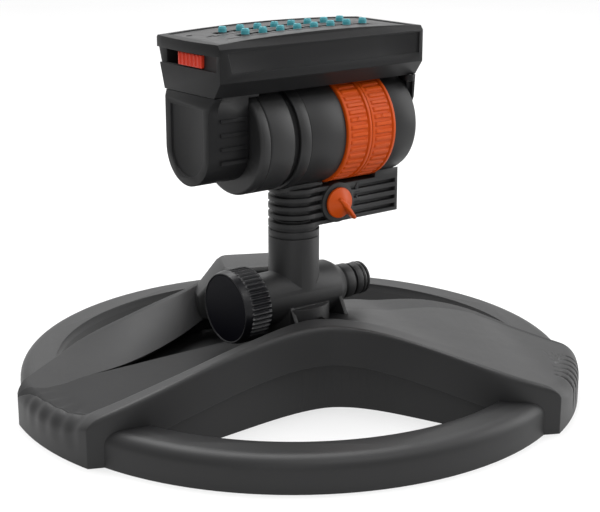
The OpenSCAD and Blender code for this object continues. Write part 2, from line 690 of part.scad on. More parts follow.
module stator_plate() {
    color(white) upper() on_axis(turbine_x + 9) difference() {
        cylinder(r = sleeve_r - barrel_wall - seat, h = 2.4);
        translate([0, 0, -1]) cylinder(r = shaft_r + run, h = 5);
        for (i = [0 : 7]) rotate(i * 45) translate([11, 0, -1]) cylinder(r = 1.6, h = 5);
    }
}
module jet_selector() {
    color(orange) upper() on_axis(turbine_x + 12) difference() {
        union() {
            cylinder(r = 4, h = 2);
            for (i = [0 : 3]) rotate(i * 90 + 11) hull() {
                cylinder(r = 2.4, h = 2, $fn = 32);
                translate([11, 0, 0]) cylinder(r = 2.2, h = 2, $fn = 32);
            }
        }
        translate([0, 0, -1]) cylinder(r = shaft_r + run, h = 5);
    }
}
module turbine_wheel() {
    blades = 12;
    color(white) upper() on_axis(turbine_x) {
        difference() {
            cylinder(r = 9, h = 7);
            translate([0, 0, -1]) cylinder(r = shaft_r + 0.01, h = 9);
        }
        for (i = [0 : blades - 1])
            rotate(i * 360 / blades) translate([8, 0, 3.5]) rotate([35, 0, 0])
                translate([0, -0.6, -3.4]) cube([7.5, 1.2, 6.8]);
    }
}
module turbine_shaft() {
    color(steel) upper() on_axis(stage_1 - 3) cylinder(r = shaft_r, h = turbine_x + 15 - stage_1 + 3);
}
module input_pinion() {
    color(white) upper() on_axis(stage_1 + 0.2) gear(sun_teeth, gear_w, shaft_r + 0.01);
}
module planet(x, a) {
    color(white) upper() on_axis(x) rotate(a) translate([orbit, 0, 0])
        rotate(180 / planet_teeth - a) gear(planet_teeth, gear_w, 1.5 + run);
}
module planet_1a() { planet(stage_1 + 0.2, 0); }
module planet_1b() { planet(stage_1 + 0.2, 120); }
module planet_1c() { planet(stage_1 + 0.2, 240); }
module planet_2a() { planet(stage_2 + 0.2, 0); }
module planet_2b() { planet(stage_2 + 0.2, 120); }
module planet_2c() { planet(stage_2 + 0.2, 240); }
// plate with three pins that carry a stage's planets
module carrier(x) {
    on_axis(x - 3) {
        cylinder(r = orbit + 3, h = 2.8);
        for (a = [0 : 120 : 240]) rotate(a) translate([orbit, 0, 0]) cylinder(r = 1.5, h = gear_w + 3);
    }
}
module carrier_1() {
    color(white) upper() difference() {
        union() {
            carrier(stage_1);
            on_axis(stage_2 + 0.2) gear(sun_teeth, stage_1 - stage_2 - 3, 0.1);
        }
        on_axis(stage_1 - 3.1) cylinder(r = shaft_r + run, h = 4);
    }
}
module ring_gear() {
    // internal teeth for both stages in one tube
    color(white) upper() on_axis(stage_2 - 1) difference() {
        cylinder(r = inner_r - seat, h = stage_1 - stage_2 + gear_w + 2);
        translate([0, 0, -1]) linear_extrude(height = 60)
            polygon([for (i = [0 : ring_teeth - 1],
                q = [[-0.33, -0.85], [-0.18, 1.15], [0.18, 1.15], [0.33, -0.85]])
                let (a = (i + 0.5 + q[0]) * 360 / ring_teeth,
                    r = (ring_teeth / 2 + q[1]) * gear_m) [r * cos(a), r * sin(a)]]);
    }
}
module output_hub() {
    // second carrier and the hollow hub that turns the cheek and feeds the bar
    color(white) upper() difference() {
        union() {
            carrier(stage_2);
            tube_x(-cheek_in - hub_out, cheek_in + hub_out + stage_2 - 2.5, hub_r, 0);
        }
        tube_x(-cheek_in - hub_out - 1, cheek_in + hub_out + stage_2 - 3, hub_r - 3, 0);
    }
}
module hub_seal() {
    color([0.02, 0.02, 0.02]) upper() o_ring(housing_x0 + 2.1, hub_r + run + 0.85, 0.8, barrel_z);
}

// ---- spray bar, drawn at rest over the barrel ----
// radius of the bar's bowed front
bow_r = (bar_half * bar_half + bar_bow * bar_bow) / (2 * bar_bow);
// plan of the bar above its taper, inset by d, and by low at the back
module bar_plan(d, low = 0) {
    intersection() {
        translate([-bar_half + d, -bar_front - 1])
            square([2 * bar_half - 2 * d, bar_front + bar_rear + 1 - d - low]);
        translate([0, bow_r - bar_front]) circle(r = bow_r - d, $fn = 1440);
    }
}
// everything under the bar's arched top, lowered by d
module bar_arch(d) {
    r = (bar_half * bar_half + bar_rise * bar_rise) / (2 * bar_rise);
    translate([0, 100, bar_top - r]) rotate([90, 0, 0]) cylinder(r = r - d, h = 200, $fn = 1440);
}
// bowed front that draws in below the band and rounds off at the top, inset by d
module bar_bowed(d) {
    translate([0, bow_r - bar_front, 0]) {
        translate([0, 0, bar_z0 - 1])
            cylinder(r1 = bow_r - taper_y - d, r2 = bow_r - d, h = band_z - bar_z0 + 1, $fn = 1440);
        translate([0, 0, band_z - eps]) cylinder(r = bow_r - d, h = shoulder_z - band_z + eps, $fn = 1440);
        translate([0, 0, shoulder_z - eps])
            cylinder(r1 = bow_r - d, r2 = bow_r - d - rim_in, h = rim_h, $fn = 1440);
        translate([0, 0, shoulder_z + rim_h - 0.1]) cylinder(r = bow_r - d - rim_in, h = 20, $fn = 1440);
    }
}
// end view of the bar: the back slants in from the shoulder down
module bar_end_view() {
    polygon([[-bar_front - 2, bar_z0], [taper_rear, bar_z0], [bar_rear, slot_z1],
             [bar_rear, shoulder_z + 1], [bar_rear - rim_in, shoulder_z + 1 + rim_h],
             [bar_rear - rim_in, bar_top + 5],
             [-bar_front - 2, bar_top + 5]]);
}
module bar_body() {
    color(body_grey) upper() difference() {
        intersection() {
            translate([-bar_half - 10, 0, 0]) rotate([90, 0, 90])
                linear_extrude(height = 2 * bar_half + 10) bar_end_view();
            bar_bowed(0);
            bar_arch(0);
            union() {
                // lower wall with its lip, wall behind the slider, and the roof over it
                translate([-bar_half, -50, bar_z0]) cube([2 * bar_half, 100, slot_z0 - bar_z0]);
                translate([-bar_half + 1.2, -50, slot_z0 - 1]) cube([2 * bar_half - 1.2, 100, 30]);
                translate([-bar_half, -50, slot_z0 - 1]) cube([2 * bar_half, 50 - bar_front + 4.4, 30]);
                translate([end_r - bar_half - end_bow, 0, slot_z1]) cylinder(r = end_r, h = 20, $fn = 1440);
            }
        }
        // recessed panel along the front
        difference() {
            translate([0, 0, 0]) rotate([90, 0, 0]) linear_extrude(height = bar_front + 5)
                polygon([[-bar_half + 4.6, panel_z1], [-bar_half + 7, panel_z0], [bar_half - 2.6, panel_z0],
                         [bar_half - 2.6, panel_z1 + 1], [20, panel_z1 + 1.7], [-20, panel_z1 + 1.5]]);
            translate([0, bow_r - bar_front, 100]) cylinder(r = bow_r - 0.8, h = 100, $fn = 1440);
        }
        // room for the barrel and its rings
        tube_x(-cheek_in - 2.4, 200, range_r + 0.7, 0);
        // chamber, with a ledge for the cover
        translate([0, 0, manifold_z - seat]) linear_extrude(height = 40)
            bar_plan(rim_w + bar_wall, taper_rear_in);
        translate([0, 0, cover_z - seat]) linear_extrude(height = 40) bar_plan(rim_w + bar_wall);
        // slot for the width slider in the left end
        translate([-bar_half - 3, slider_y0, slider_z0]) cube([12, slider_y1 - slider_y0, slider_h]);
        bar_screw_places() translate([0, 0, -1]) cylinder(r = 1.3, h = 9, $fn = 24);
    }
}
module nozzle_places(row) {
    shift = row < 0 ? 2.3 : -1.4;
    for (i = [0 : nozzle_count - 1])
        translate([(i - (nozzle_count - 1) / 2) * nozzle_pitch + shift, row * nozzle_row, 0]) children();
}
module top_cover() {
    // arched plate that the nozzles look through, with a slot for each to move in
    travel = 2.4;
    slot_w = 5.2;
    mark_z = cover_z + 3.2;
    color(dark_grey) upper() difference() {
        intersection() {
            translate([0, 0, cover_z]) linear_extrude(height = 10) bar_plan(rim_w + bar_wall + seat);
            bar_arch(0.5);
        }
        for (row = [-1, 1])
            nozzle_places(row) translate([-travel - slot_w / 2, -slot_w / 2, bar_top - 10])
                cube([2 * travel + slot_w, slot_w, 20]);
        // two long grooves, and the marks of a narrow and a wide jet at the left end
        for (y = [-12.2, 0])
            translate([-nozzle_count / 2 * nozzle_pitch - 7, y - 0.5, mark_z])
                cube([nozzle_count * nozzle_pitch + 10, 1, 20]);
        for (a = [-20, 20]) translate([-bar_half + 12, 1, mark_z]) rotate(a)
            translate([0, -0.6, 0]) cube([6, 1.2, 20]);
        translate([-bar_half + 9, 12, mark_z]) cylinder(r = 1.6, h = 20, $fn = 24);
    }
}
module nozzle_rail(row) {
    // strip under the cover that carries one row of nozzles
    top = bar_top + nozzle_rise;
    x0 = -(nozzle_count - 1) / 2 * nozzle_pitch - 5;
    intersection() {
        translate([x0 + (row < 0 ? 2.3 : -1.4), row * nozzle_row - 3.4, rail_z]) cube([-2 * x0, 6.8, 1.8]);
    }
    nozzle_places(row) difference() {
        union() {
            translate([0, 0, rail_z + 1.5]) cylinder(r = 2.1, h = top - 1 - rail_z - 1.5, $fn = 24);
            translate([0, 0, top - 1 - eps]) cylinder(r1 = 2.1, r2 = 1.7, h = 1, $fn = 24);
        }
        translate([0, 0, rail_z - 1]) cylinder(r = 0.7, h = 20, $fn = 16);
    }
}
module front_nozzle_rail() { color(teal) upper() nozzle_rail(-1); }
module rear_nozzle_rail() { color(teal) upper() nozzle_rail(1); }
module manifold() {
    // water chamber under the rails, with a port for each nozzle
    color(white) upper() difference() {
        intersection() {
            translate([0, 0, manifold_z]) linear_extrude(height = rail_z - manifold_z - seat)
                bar_plan(rim_w + bar_wall + seat, taper_rear_in);
            translate([-slider_in, -30, 0]) cube([2 * slider_in - 4, 60, 300]);
        }
        difference() {
            translate([0, 0, manifold_z + 2]) linear_extrude(height = rail_z - manifold_z - 4 - seat)
                bar_plan(rim_w + 2 * bar_wall + seat, taper_rear_in);
            translate([-slider_in - 1, -30, 0]) cube([3.4, 60, 300]);
            translate([slider_in - 6.4, -30, 0]) cube([30, 60, 300]);
        }
        for (row = [-1, 1]) nozzle_places(row) translate([0, 0, rail_z - 5])
            cylinder(r = 0.8, h = 10, $fn = 16);
    }
}
module width_slider() {
    // ribbed red slider in the bar's left end, with the plate that moves the rails
    w = 19.8;
    ribs = 6;
    color([0.85, 0.1, 0.06]) upper() {
        translate([-bar_half - 0.2, slider_y0 + 0.5, slider_z0 + 0.4]) cube([4.5, w, slider_h - 0.8]);
        translate([-bar_half + 3, slider_y0 + 3, slider_z0 + 1.2])
            cube([bar_half - slider_in - 3.6, w - 6, slider_h - 3]);
        for (i = [0 : ribs - 1])
            translate([-bar_half - 0.7, slider_y0 + 2 + i * 3.2, slider_z0 + 0.8])
                cube([0.8, 1.4, slider_h - 1.6]);
    }
}
module cheek_outline(d) {
    r = cheek_r - d;
    hull() {
        translate([cheek_y, barrel_z - 1.4]) circle(r = r);
        translate([cheek_y - r, bar_z0 - 4]) square([2 * r, 4]);
    }
}
module left_cheek() {
    color(body_grey) upper() difference() {
        union() {
            translate([-cheek_end, 0, 0]) rotate([90, 0, 90])
                linear_extrude(height = cheek_end - cheek_in) translate([0, 0]) cheek_outline(0);
            // ribs on the front face
            for (i = [0 : 3])
                translate([-cheek_end + 6.7, cheek_y - cheek_r - 0.9, 148.8 - 6.9 * i]) cube([15.5, 4, 1.9]);
            // flange that sweeps out to the bar's front
            translate([-cheek_end, 0, 0]) rotate([90, 0, 90]) linear_extrude(height = 5.2)
                polygon([[-17.3, 150], [-17.7, 154], [-18.6, 156.8], [-20.2, 159.4], [-22.2, bar_z0],
                    [-10, bar_z0], [-10, 150]]);
            // block over the collar
            translate([-cheek_in - 1, cheek_y - cheek_r, 156]) cube([7.4, 5, bar_z0 - 156]);
        }
        tube_x(-cheek_in, 30, range_r + 0.7, 0);
        // slanted ledge under the bar's end
        translate([-cheek_end - 1, 0, 0]) rotate([90, 0, 0]) translate([0, 0, -40])
            linear_extrude(height = 80)
            polygon([[-1, 158.4], [1, 158.4], [1.9, bar_z0], [1.9, 170], [-1, 170]]);
        translate([-cheek_end - 1, 0, 0]) rotate([90, 0, 90]) linear_extrude(height = 1.9) intersection() {
            cheek_outline(4.6);
            translate([-40, 0]) square([80, 155.5]);
        }
        translate([-cheek_end + 4, 0, 0]) rotate([90, 0, 90])
            linear_extrude(height = cheek_end - cheek_in - 6.5)
            difference() {
                cheek_outline(2.4);
                translate([-40, bar_z0 - 5]) square([80, 20]);
            }
        tube_x(-cheek_in - hub_out - 0.4, 30, hub_r + run, 0);
        translate([-cheek_end - 1, -40, bar_z0 - seat]) cube([60, 80, 20]);
        bar_screw_places() translate([0, 0, -12]) cylinder(r = 1.3, h = 13, $fn = 24);
        bar_screw_places() translate([0, 0, -20]) cylinder(r = 2, h = 18.4 - seat, $fn = 24);
    }
}
module right_cheek() {
    // thin end plate with the pivot's eye
    color(body_grey) upper() difference() {
        union() {
            translate([arm_end + gap, 0, 0]) rotate([90, 0, 90]) linear_extrude(height = cheek_t) hull() {
                translate([0, barrel_z]) circle(r = 14);
                polygon([[-21.6, bar_z0 - seat], [-20.8, 150], [18, 150],
                    [taper_rear - 0.3, bar_z0 - seat]]);
            }
            // screw bosses, clear of the barrel's top
            for (y = [-right_screw_y, right_screw_y])
                translate([right_screw_x, y, bar_z0 - 3.4]) cylinder(r = 3, h = 3.4 - seat);
        }
        bar_screw_places() translate([0, 0, -8]) cylinder(r = 1.3, h = 9, $fn = 24);
        bar_screw_places() translate([0, 0, -20]) cylinder(r = 2, h = 18.4 - seat, $fn = 24);
        tube_x(arm_end - 4, 20, pivot_r + 1.6, 0);
    }
}
module pivot_bush() {
    color(white) upper() tube_x(arm_end + gap, cheek_t, pivot_r + 1.6 - 0.02, pivot_r + run);
}
module bar_screw_places() {
    for (y = [-1, 1]) {
        translate([-cheek_in - 6, y * 9 + cheek_y, bar_z0]) children();
        translate([right_screw_x, y * right_screw_y, bar_z0]) children();
    }
}
module bar_screws() {
    color(steel) upper() bar_screw_places() translate([0, 0, -3.4 - seat]) {
        cylinder(r = 1.9, h = 1.6, $fn = 24);
        cylinder(r = 1.2, h = 9, $fn = 24);
    }
}

plinth_r = 19;
nipple_neck = 29.8;    // where the pipe has narrowed to the nipple
thread_len = 12;       // the pipe's stub inside the cap
socket_len = 9;        // the column's spigot inside the arm
bore_r = pipe_r - pipe_wall - 1.4;
spigot_r = column_r - 3.2;
column_bore = spigot_r - pipe_wall - 1.5;
screw_x = 66;
boss_z = 5;
pylon_x = 45.2;
valve_r = 6.4;
collar_x = -20.5;
clamp_x0 = -17;
clamp_x1 = -10.3;
inner_r = barrel_r - barrel_wall;
hub_r = 8;
hub_out = 14;          // how far the hub reaches into the left cheek
sleeve_r = inner_r - 2;
range_x1 = range_x0 + 2 * range_w + range_gap + gap;
pivot_r = 6;
turbine_x = range_x0 + 14;
cheek_y = 1.2;
cheek_r = 18.6;        // rounding of the left cheek's lower end
right_screw_x = arm_end - 0.1;
right_screw_y = 20;
manifold_z = 168;
rail_z = bar_top - 8.4;
cover_z = rail_z + 2 + gap;
bar_rise = 2.3;        // rise of the bar's arch
band_z = 169.4;        // lower edge of the band under the front panel
panel_z0 = 173.9;
panel_z1 = 183.4;
rim_w = 1.6;           // rim beside the cover, over the wall
rim_in = 2.4;          // how far the top edges draw in
rim_h = 3;             // height over which they do
shoulder_z = 185.6;    // where the front and back round over to the top
taper_y = 6;           // how far the front draws in below the band
taper_rear = 21;       // back of the bar at its underside
taper_rear_in = 6;
slot_z0 = 174.6;
slot_z1 = 182.1;
end_bow = 2;           // bow of the roof over the slider
end_r = (bar_rear * bar_rear + end_bow * end_bow) / (2 * end_bow);
slider_y0 = -12;
slider_y1 = 20;
slider_z0 = slot_z0 + 0.3;
slider_h = 7;
slider_in = bar_half - 8;

base_ring();
saddle_cover();
saddle_frame();
base_screws();
tee_body();
hose_o_ring();
filter_screen();
end_cap();
cap_seal();
column_seal();
arm();
flow_knob();
valve_spool();
valve_seal();
gear_housing();
clamp_ring();
pivot_collar();
end_housing();
left_range_ring();
right_range_ring();
stator_plate();
jet_selector();
turbine_wheel();
turbine_shaft();
input_pinion();
planet_1a();
planet_1b();
planet_1c();
carrier_1();
planet_2a();
planet_2b();
planet_2c();
ring_gear();
output_hub();
hub_seal();
bar_body();
top_cover();
left_cheek();
right_cheek();
pivot_bush();
manifold();
front_nozzle_rail();
rear_nozzle_rail();
width_slider();
bar_screws();
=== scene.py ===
# %% [markdown]
# # A garden sprinkler that swings from side to side
#
# A flat ring base carries a moulded bridge. On the bridge stands a water tee, on the tee an
# arm, and on the arm a geared barrel that swings a bar of rubber nozzles over the lawn.
#
# The shapes that must fit and move come from the CAD model, so the first cell loads that
# frame. Nothing that is added may grow it.

import json
import math
from itertools import product

import bmesh
import bpy
from mathutils import Matrix, Vector

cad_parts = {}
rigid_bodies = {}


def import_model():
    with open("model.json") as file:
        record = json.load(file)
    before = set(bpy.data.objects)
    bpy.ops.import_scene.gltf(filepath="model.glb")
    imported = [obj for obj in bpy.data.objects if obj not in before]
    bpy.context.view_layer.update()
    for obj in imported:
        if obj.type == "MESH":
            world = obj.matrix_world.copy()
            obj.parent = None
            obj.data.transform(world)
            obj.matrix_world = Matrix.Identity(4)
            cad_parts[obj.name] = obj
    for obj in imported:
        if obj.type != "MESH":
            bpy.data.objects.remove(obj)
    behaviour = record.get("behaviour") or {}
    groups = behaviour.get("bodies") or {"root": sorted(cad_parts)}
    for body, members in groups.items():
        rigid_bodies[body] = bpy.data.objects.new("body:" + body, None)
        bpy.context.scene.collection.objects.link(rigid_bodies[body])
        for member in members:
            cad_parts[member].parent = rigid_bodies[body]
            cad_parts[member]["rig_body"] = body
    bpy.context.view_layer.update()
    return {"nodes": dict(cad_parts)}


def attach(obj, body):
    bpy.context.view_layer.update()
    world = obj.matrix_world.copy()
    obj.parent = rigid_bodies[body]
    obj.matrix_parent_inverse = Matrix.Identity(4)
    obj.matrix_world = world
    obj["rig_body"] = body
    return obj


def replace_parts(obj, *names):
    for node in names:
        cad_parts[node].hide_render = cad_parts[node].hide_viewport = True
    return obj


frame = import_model()
nodes = frame["nodes"]

# %% [markdown]
# ## The camera
#
# A camera is a place, a direction and a lens. An 85 mm lens from about 75 cm away keeps the
# verticals nearly parallel, while the ring still narrows towards the back. The pitch is 16
# degrees below the horizon, so both the top of the nozzle bar and its front face are seen.
# Data such as a lens or a mesh is only seen once an object in the scene holds it, so a small
# helper makes that object.

# %% Set up the camera
def add_object(name, data):
    """Put some data into the scene as an object."""
    thing = bpy.data.objects.new(name, data)
    bpy.context.scene.collection.objects.link(thing)
    return thing


lens = bpy.data.cameras.new("camera")
lens.lens = 85
lens.sensor_width = 36
camera = add_object("camera", lens)
camera.location = (-0.1273, -0.7084, 0.2745)
camera.rotation_euler = (math.radians(74.054), 0, math.radians(-10.45))
bpy.context.scene.camera = camera
print("camera:", round(camera.location.length, 3), "m from the middle of the ring")

# %% [markdown]
# ## The floor and the light
#
# Black plastic has almost no colour of its own: what is seen is what it mirrors. A face seen
# at a glance mirrors far more than one seen head on, so the tops go pale grey while the fronts
# stay nearly black. To keep that contrast the surround is not even. It is brightest high up
# and behind, and falls off towards the side that the fronts look at. An even white surround
# would be simpler, but it greys the fronts.
#
# One wide lamp hangs overhead, and a strip at the right draws a line along the barrel. Two weak
# lamps stand at the front: the low one keeps the orange parts warm, and the high, wide one
# lifts the tops of the rounded parts.

# %% Hang the lamps
def area_lamp(name, place, aim, size, power):
    """A rectangular lamp at a place, facing a point."""
    lamp = bpy.data.lights.new(name, "AREA")
    lamp.shape = "RECTANGLE"
    lamp.size, lamp.size_y = size
    lamp.energy = power
    thing = add_object(name, lamp)
    thing.location = place
    thing.rotation_euler = (Vector(aim) - Vector(place)).to_track_quat("-Z", "Y").to_euler()
    print(name, power, "W")


area_lamp("overhead", (-0.10, 0.45, 1.30), (0, 0, 0.05), (1.2, 1.2), 26)
area_lamp("right_strip", (1.25, 0.05, 0.55), (0, 0, 0.12), (0.40, 1.0), 7)
area_lamp("front", (-0.35, -1.5, 0.55), (0, 0, 0.12), (0.5, 0.5), 2)
area_lamp("front_high", (0.35, -1.0, 1.25), (0, 0, 0.14), (1.0, 0.16), 5)

# %% Shade the surround
BRIGHT_SIDE = (0.28, 0.72, 0.63)
world = bpy.data.worlds.new("world")
world.use_nodes = True
sky = world.node_tree
heading = sky.nodes.new("ShaderNodeTexCoord")
upward = sky.nodes.new("ShaderNodeVectorMath")
upward.operation = "DOT_PRODUCT"
upward.inputs[1].default_value = BRIGHT_SIDE
level = sky.nodes.new("ShaderNodeMapRange")
for key, value in {"From Min": -0.9, "From Max": 0.7, "To Min": 0.22, "To Max": 1.05}.items():
    level.inputs[key].default_value = value
sky.links.new(heading.outputs["Generated"], upward.inputs[0])
sky.links.new(upward.outputs["Value"], level.inputs["Value"])
sky.links.new(level.outputs["Result"], sky.nodes["Background"].inputs["Strength"])
sky.nodes["Background"].inputs["Color"].default_value = (1, 1, 1, 1)
bpy.context.scene.world = world
bpy.context.scene.view_settings.view_transform = "Standard"

# %% Lay the floor
HALF_FLOOR = 4
floor_mesh = bmesh.new()
bmesh.ops.create_grid(floor_mesh, x_segments=2, y_segments=2, size=HALF_FLOOR)
floor_data = bpy.data.meshes.new("floor")
floor_mesh.to_mesh(floor_data)
floor_mesh.free()
floor = add_object("floor", floor_data)
print("floor:", 2 * HALF_FLOOR, "m wide")

# %% [markdown]
# ## Writing a material as sums
#
# A material is a graph of nodes. Wiring one by hand takes four lines for each sum, so two
# small helpers stand in for that. A `Wire` is one output of a node: `+`, `-` and `*` between
# wires and numbers add Math nodes. A `Finish` is a material, and its one method `node` makes
# any other node from its type, its settings and the values or wires of its sockets.

# %% Wires and finishes
class Wire:
    """One output of a shader node, on which sums can be written."""

    def __init__(self, finish, socket):
        self.finish, self.socket = finish, socket

    def math(self, operation, first, second):
        return self.finish.node("ShaderNodeMath", {"operation": operation}, {0: first, 1: second})

    def __add__(self, other):
        return self.math("ADD", self, other)

    def __sub__(self, other):
        return self.math("SUBTRACT", self, other)

    def __mul__(self, other):
        return self.math("MULTIPLY", self, other)

    def __rsub__(self, other):
        return self.math("SUBTRACT", other, self)

    __radd__ = __add__
    __rmul__ = __mul__


class Finish:
    """A material whose nodes are made by one method."""

    def __init__(self, name, **constants):
        self.material = bpy.data.materials.new("finish_" + name)
        self.material.use_nodes = True
        self.tree = self.material.node_tree
        self.shader = self.tree.nodes["Principled BSDF"]
        for socket, value in constants.items():
            self.shader.inputs[socket.replace("_", " ")].default_value = value

    def node(self, kind, settings=None, values=None, out=0):
        """A node by its type, its settings and what its sockets get; out picks its output."""
        made = self.tree.nodes.new(kind)
        for key, value in (settings or {}).items():
            setattr(made, key, value)
        for key, value in (values or {}).items():
            self.put(made.inputs[key], value)
        return Wire(self, made.outputs[out])

    def put(self, socket, value):
        """Link a wire to a socket, or set its value; a colour gets its fourth number here."""
        if isinstance(value, Wire):
            self.tree.links.new(value.socket, socket)
        elif hasattr(value, "__len__") and len(value) == 3 and socket.type == "RGBA":
            socket.default_value = (*value, 1)
        else:
            socket.default_value = value

    def blend(self, share, first, second):
        """A colour between two, by a share from 0 to 1."""
        return self.node("ShaderNodeMix", {"data_type": "RGBA"}, {0: share, 6: first, 7: second}, 2)

    def feed(self, **wires):
        """Link wires to the shader and hand over the finished material."""
        for socket, wire in wires.items():
            self.put(self.shader.inputs[socket.replace("_", " ")], wire)
        return self.material


def noise(finish, place, scale, detail, distortion=0.0):
    """A soft random pattern from 0 to 1, with its scale in waves per metre."""
    return finish.node("ShaderNodeTexNoise", {}, {"Vector": place, "Scale": scale, "Detail": detail,
                                                  "Distortion": distortion})


# %% [markdown]
# ## Moulded plastic
#
# Every shell here is injection moulded from filled polypropylene. Its tool was spark eroded,
# which leaves a fine, even grain: tiny pits about 0.4 mm across that break the gloss up. On
# top of that lie slow changes of shade where the melt cooled at different rates, and faint flow
# lines. The rounded edges catch the light, so a painted highlight makes them paler in the base
# colour, and they are also made a little smoother. A Bevel node gives the normal of a slightly
# rounded corner, and where it differs from the true normal there is an edge.
# The grain could be an image, but noise on Object coordinates needs no seams and no unwrapping.

# %% Define the moulded plastic
MM = 0.001
CORNER_R = 0.5 * MM
NO_EDGE, FULL_EDGE = 0.995, 0.80


def moulded(name, colour, rough, grain=1.0, edge=0.35, drift=0.16, shine=0.36):
    """Spark-eroded plastic: grain, slow drift of shade, and edges made paler by a painted
    highlight.
    """
    finish = Finish(name, IOR=1.49, Specular_IOR_Level=shine)
    place = finish.node("ShaderNodeTexCoord", out="Object")
    pits = noise(finish, place, 2600, 2)
    slow = noise(finish, place, 17, 3)
    flow = noise(finish, place, 90, 4, 1.2)
    true_normal = finish.node("ShaderNodeNewGeometry", out="Normal")
    soft_normal = finish.node("ShaderNodeBevel", {"samples": 4}, {"Radius": CORNER_R})
    agree = finish.node("ShaderNodeVectorMath", {"operation": "DOT_PRODUCT"},
                        {0: true_normal, 1: soft_normal}, "Value")
    edge_mask = finish.node("ShaderNodeMapRange", {"interpolation_type": "SMOOTHSTEP"},
                         {"Value": agree, "From Min": NO_EDGE, "From Max": FULL_EDGE,
                          "To Min": 0.0, "To Max": 1.0})
    # Painted highlight: the rounded edges are made paler in the base colour, and a little smoother.
    edge_highlight = edge_mask * (flow * 0.9 + 0.35) * edge
    pale = [min(1.0, c * 1.8 + 0.012) for c in colour]
    shade = finish.blend(slow * drift * 2 + flow * 0.1, [c * 0.86 for c in colour],
                         [c * 1.2 for c in colour])
    bumped = finish.node("ShaderNodeBump", {}, {"Strength": 0.22 * grain, "Distance": 0.05 * MM,
                                                "Height": pits, "Normal": soft_normal})
    return finish.feed(Base_Color=finish.blend(edge_highlight, shade, pale),
                       Roughness=slow * 0.10 + flow * 0.06 + pits * 0.06 * grain + (rough - 0.11)
                       - edge_highlight * 0.1,
                       Normal=bumped)


GREY = moulded("grey_shell", (0.013, 0.013, 0.0135), 0.48)
# Painted shade: a darker, less shiny copy of the grey shell for the sunk floor.
FLOOR_SHADED_GREY = moulded("grey_shell_floor_painted_shade", (0.011, 0.011, 0.0115), 0.56, shine=0.16)
# Painted shade: a darker, less shiny copy of the grey shell for the rear wall.
WALL_SHADED_GREY = moulded("grey_shell_wall_painted_shade", (0.012, 0.012, 0.0125), 0.52, shine=0.24)
# Painted shade: a darker, less shiny copy of the grey shell for the bar and its cheeks.
BAR_SHADED_GREY = moulded("grey_shell_bar_painted_shade", (0.007, 0.007, 0.0075), 0.46, shine=0.19)
DARK_GREY = moulded("dark_grey_shell", (0.009, 0.009, 0.0095), 0.46)
BLACK = moulded("black_plastic", (0.003, 0.003, 0.0045), 0.42, grain=0.6, edge=0.25)
# Painted shade: a darker, less shiny copy of the black plastic for the cap's face.
CAP_FACE_SHADED_BLACK = moulded("black_cap_painted_shade", (0.0012, 0.0012, 0.0035), 0.40, grain=0.5, edge=0.1, shine=0.06)
ORANGE = moulded("orange_plastic", (0.54, 0.068, 0.002), 0.44, grain=0.5, edge=0.12, drift=0.08,
                 shine=0.22)
RED = moulded("red_plastic", (0.60, 0.038, 0.014), 0.42, grain=0.4, edge=0.12, drift=0.08,
              shine=0.25)
WHITE = moulded("white_plastic", (0.72, 0.71, 0.68), 0.38, grain=0.3, edge=0.0, drift=0.05)
print("moulded finishes:", sum(m.name.startswith("finish_") for m in bpy.data.materials))

# %% [markdown]
# ## Rubber and steel
#
# The nozzles are moulded in a soft teal rubber that can be rubbed clean of lime, so it is dull
# and has a faint chalky bloom. Only their tips are teal: they grow out of a black carrier, so
# the colour changes with height. Two meshes would need a cut at that height, while a sum on the
# height needs none. Seals are plain black rubber.

# %% Define the rubbers
CARRIER_BLACK = (0.006, 0.006, 0.007)


def rubber(name, colour, rough, bloom, carrier_top=None):
    """Soft rubber with a dusty bloom in patches, black below the height of its carrier in mm."""
    finish = Finish(name, IOR=1.50)
    place = finish.node("ShaderNodeTexCoord", out="Object")
    patch = noise(finish, place, 260, 3)
    dust = noise(finish, place, 3200, 1)
    chalky = [c * 0.8 + bloom for c in colour]
    bumped = finish.node("ShaderNodeBump", {}, {"Strength": 0.2, "Distance": 0.04 * MM,
                                                "Height": dust})
    shade = finish.blend(patch * dust * 0.9, colour, chalky)
    if carrier_top:
        height = finish.node("ShaderNodeSeparateXYZ", {}, {"Vector": place}, "Z")
        above = finish.node("ShaderNodeMath", {"operation": "GREATER_THAN"},
                            {0: height, 1: carrier_top * MM})
        shade = finish.blend(above, CARRIER_BLACK, shade)
    return finish.feed(Base_Color=shade, Roughness=patch * 0.18 + (rough - 0.09), Normal=bumped)


TEAL = rubber("teal_rubber", (0.012, 0.22, 0.26), 0.50, 0.04, carrier_top=189.0)
SEAL = rubber("seal_rubber", (0.008, 0.008, 0.008), 0.42, 0.02)
print("rubbers:", TEAL.name, SEAL.name)

# %% [markdown]
# The screws and the filter screen are steel. One finish serves both: a zinc coat, whose small
# crystals change its shade and gloss from spot to spot. A metal has no colour under its mirror,
# so Metallic is 1 and the base colour is the colour of the mirror.

# %% Define the plated steel
def plated_steel(name):
    """Zinc plated steel with a fine mottle."""
    finish = Finish(name, Metallic=1.0)
    place = finish.node("ShaderNodeTexCoord", out="Object")
    marks = noise(finish, place, 1800, 2)
    cloud = noise(finish, place, 120, 2)
    bumped = finish.node("ShaderNodeBump", {}, {"Strength": 0.2, "Distance": 0.03 * MM,
                                                "Height": marks})
    return finish.feed(Base_Color=finish.blend(cloud, (0.52, 0.52, 0.50), (0.68, 0.67, 0.63)),
                       Roughness=marks * 0.15 + cloud * 0.1 + 0.2, Normal=bumped)


STEEL = plated_steel("plated_steel")
print("metal:", STEEL.name)

# %% [markdown]
# The floor is a pale, matt board that glows a little, like a lit table, so the shade under the
# ring stays light. It has a grain too faint to draw the eye. The black parts mirror the floor
# at their sides, so the glow fades softly to a light grey there. The bright part is a wedge
# round the middle line, and it widens towards the back.

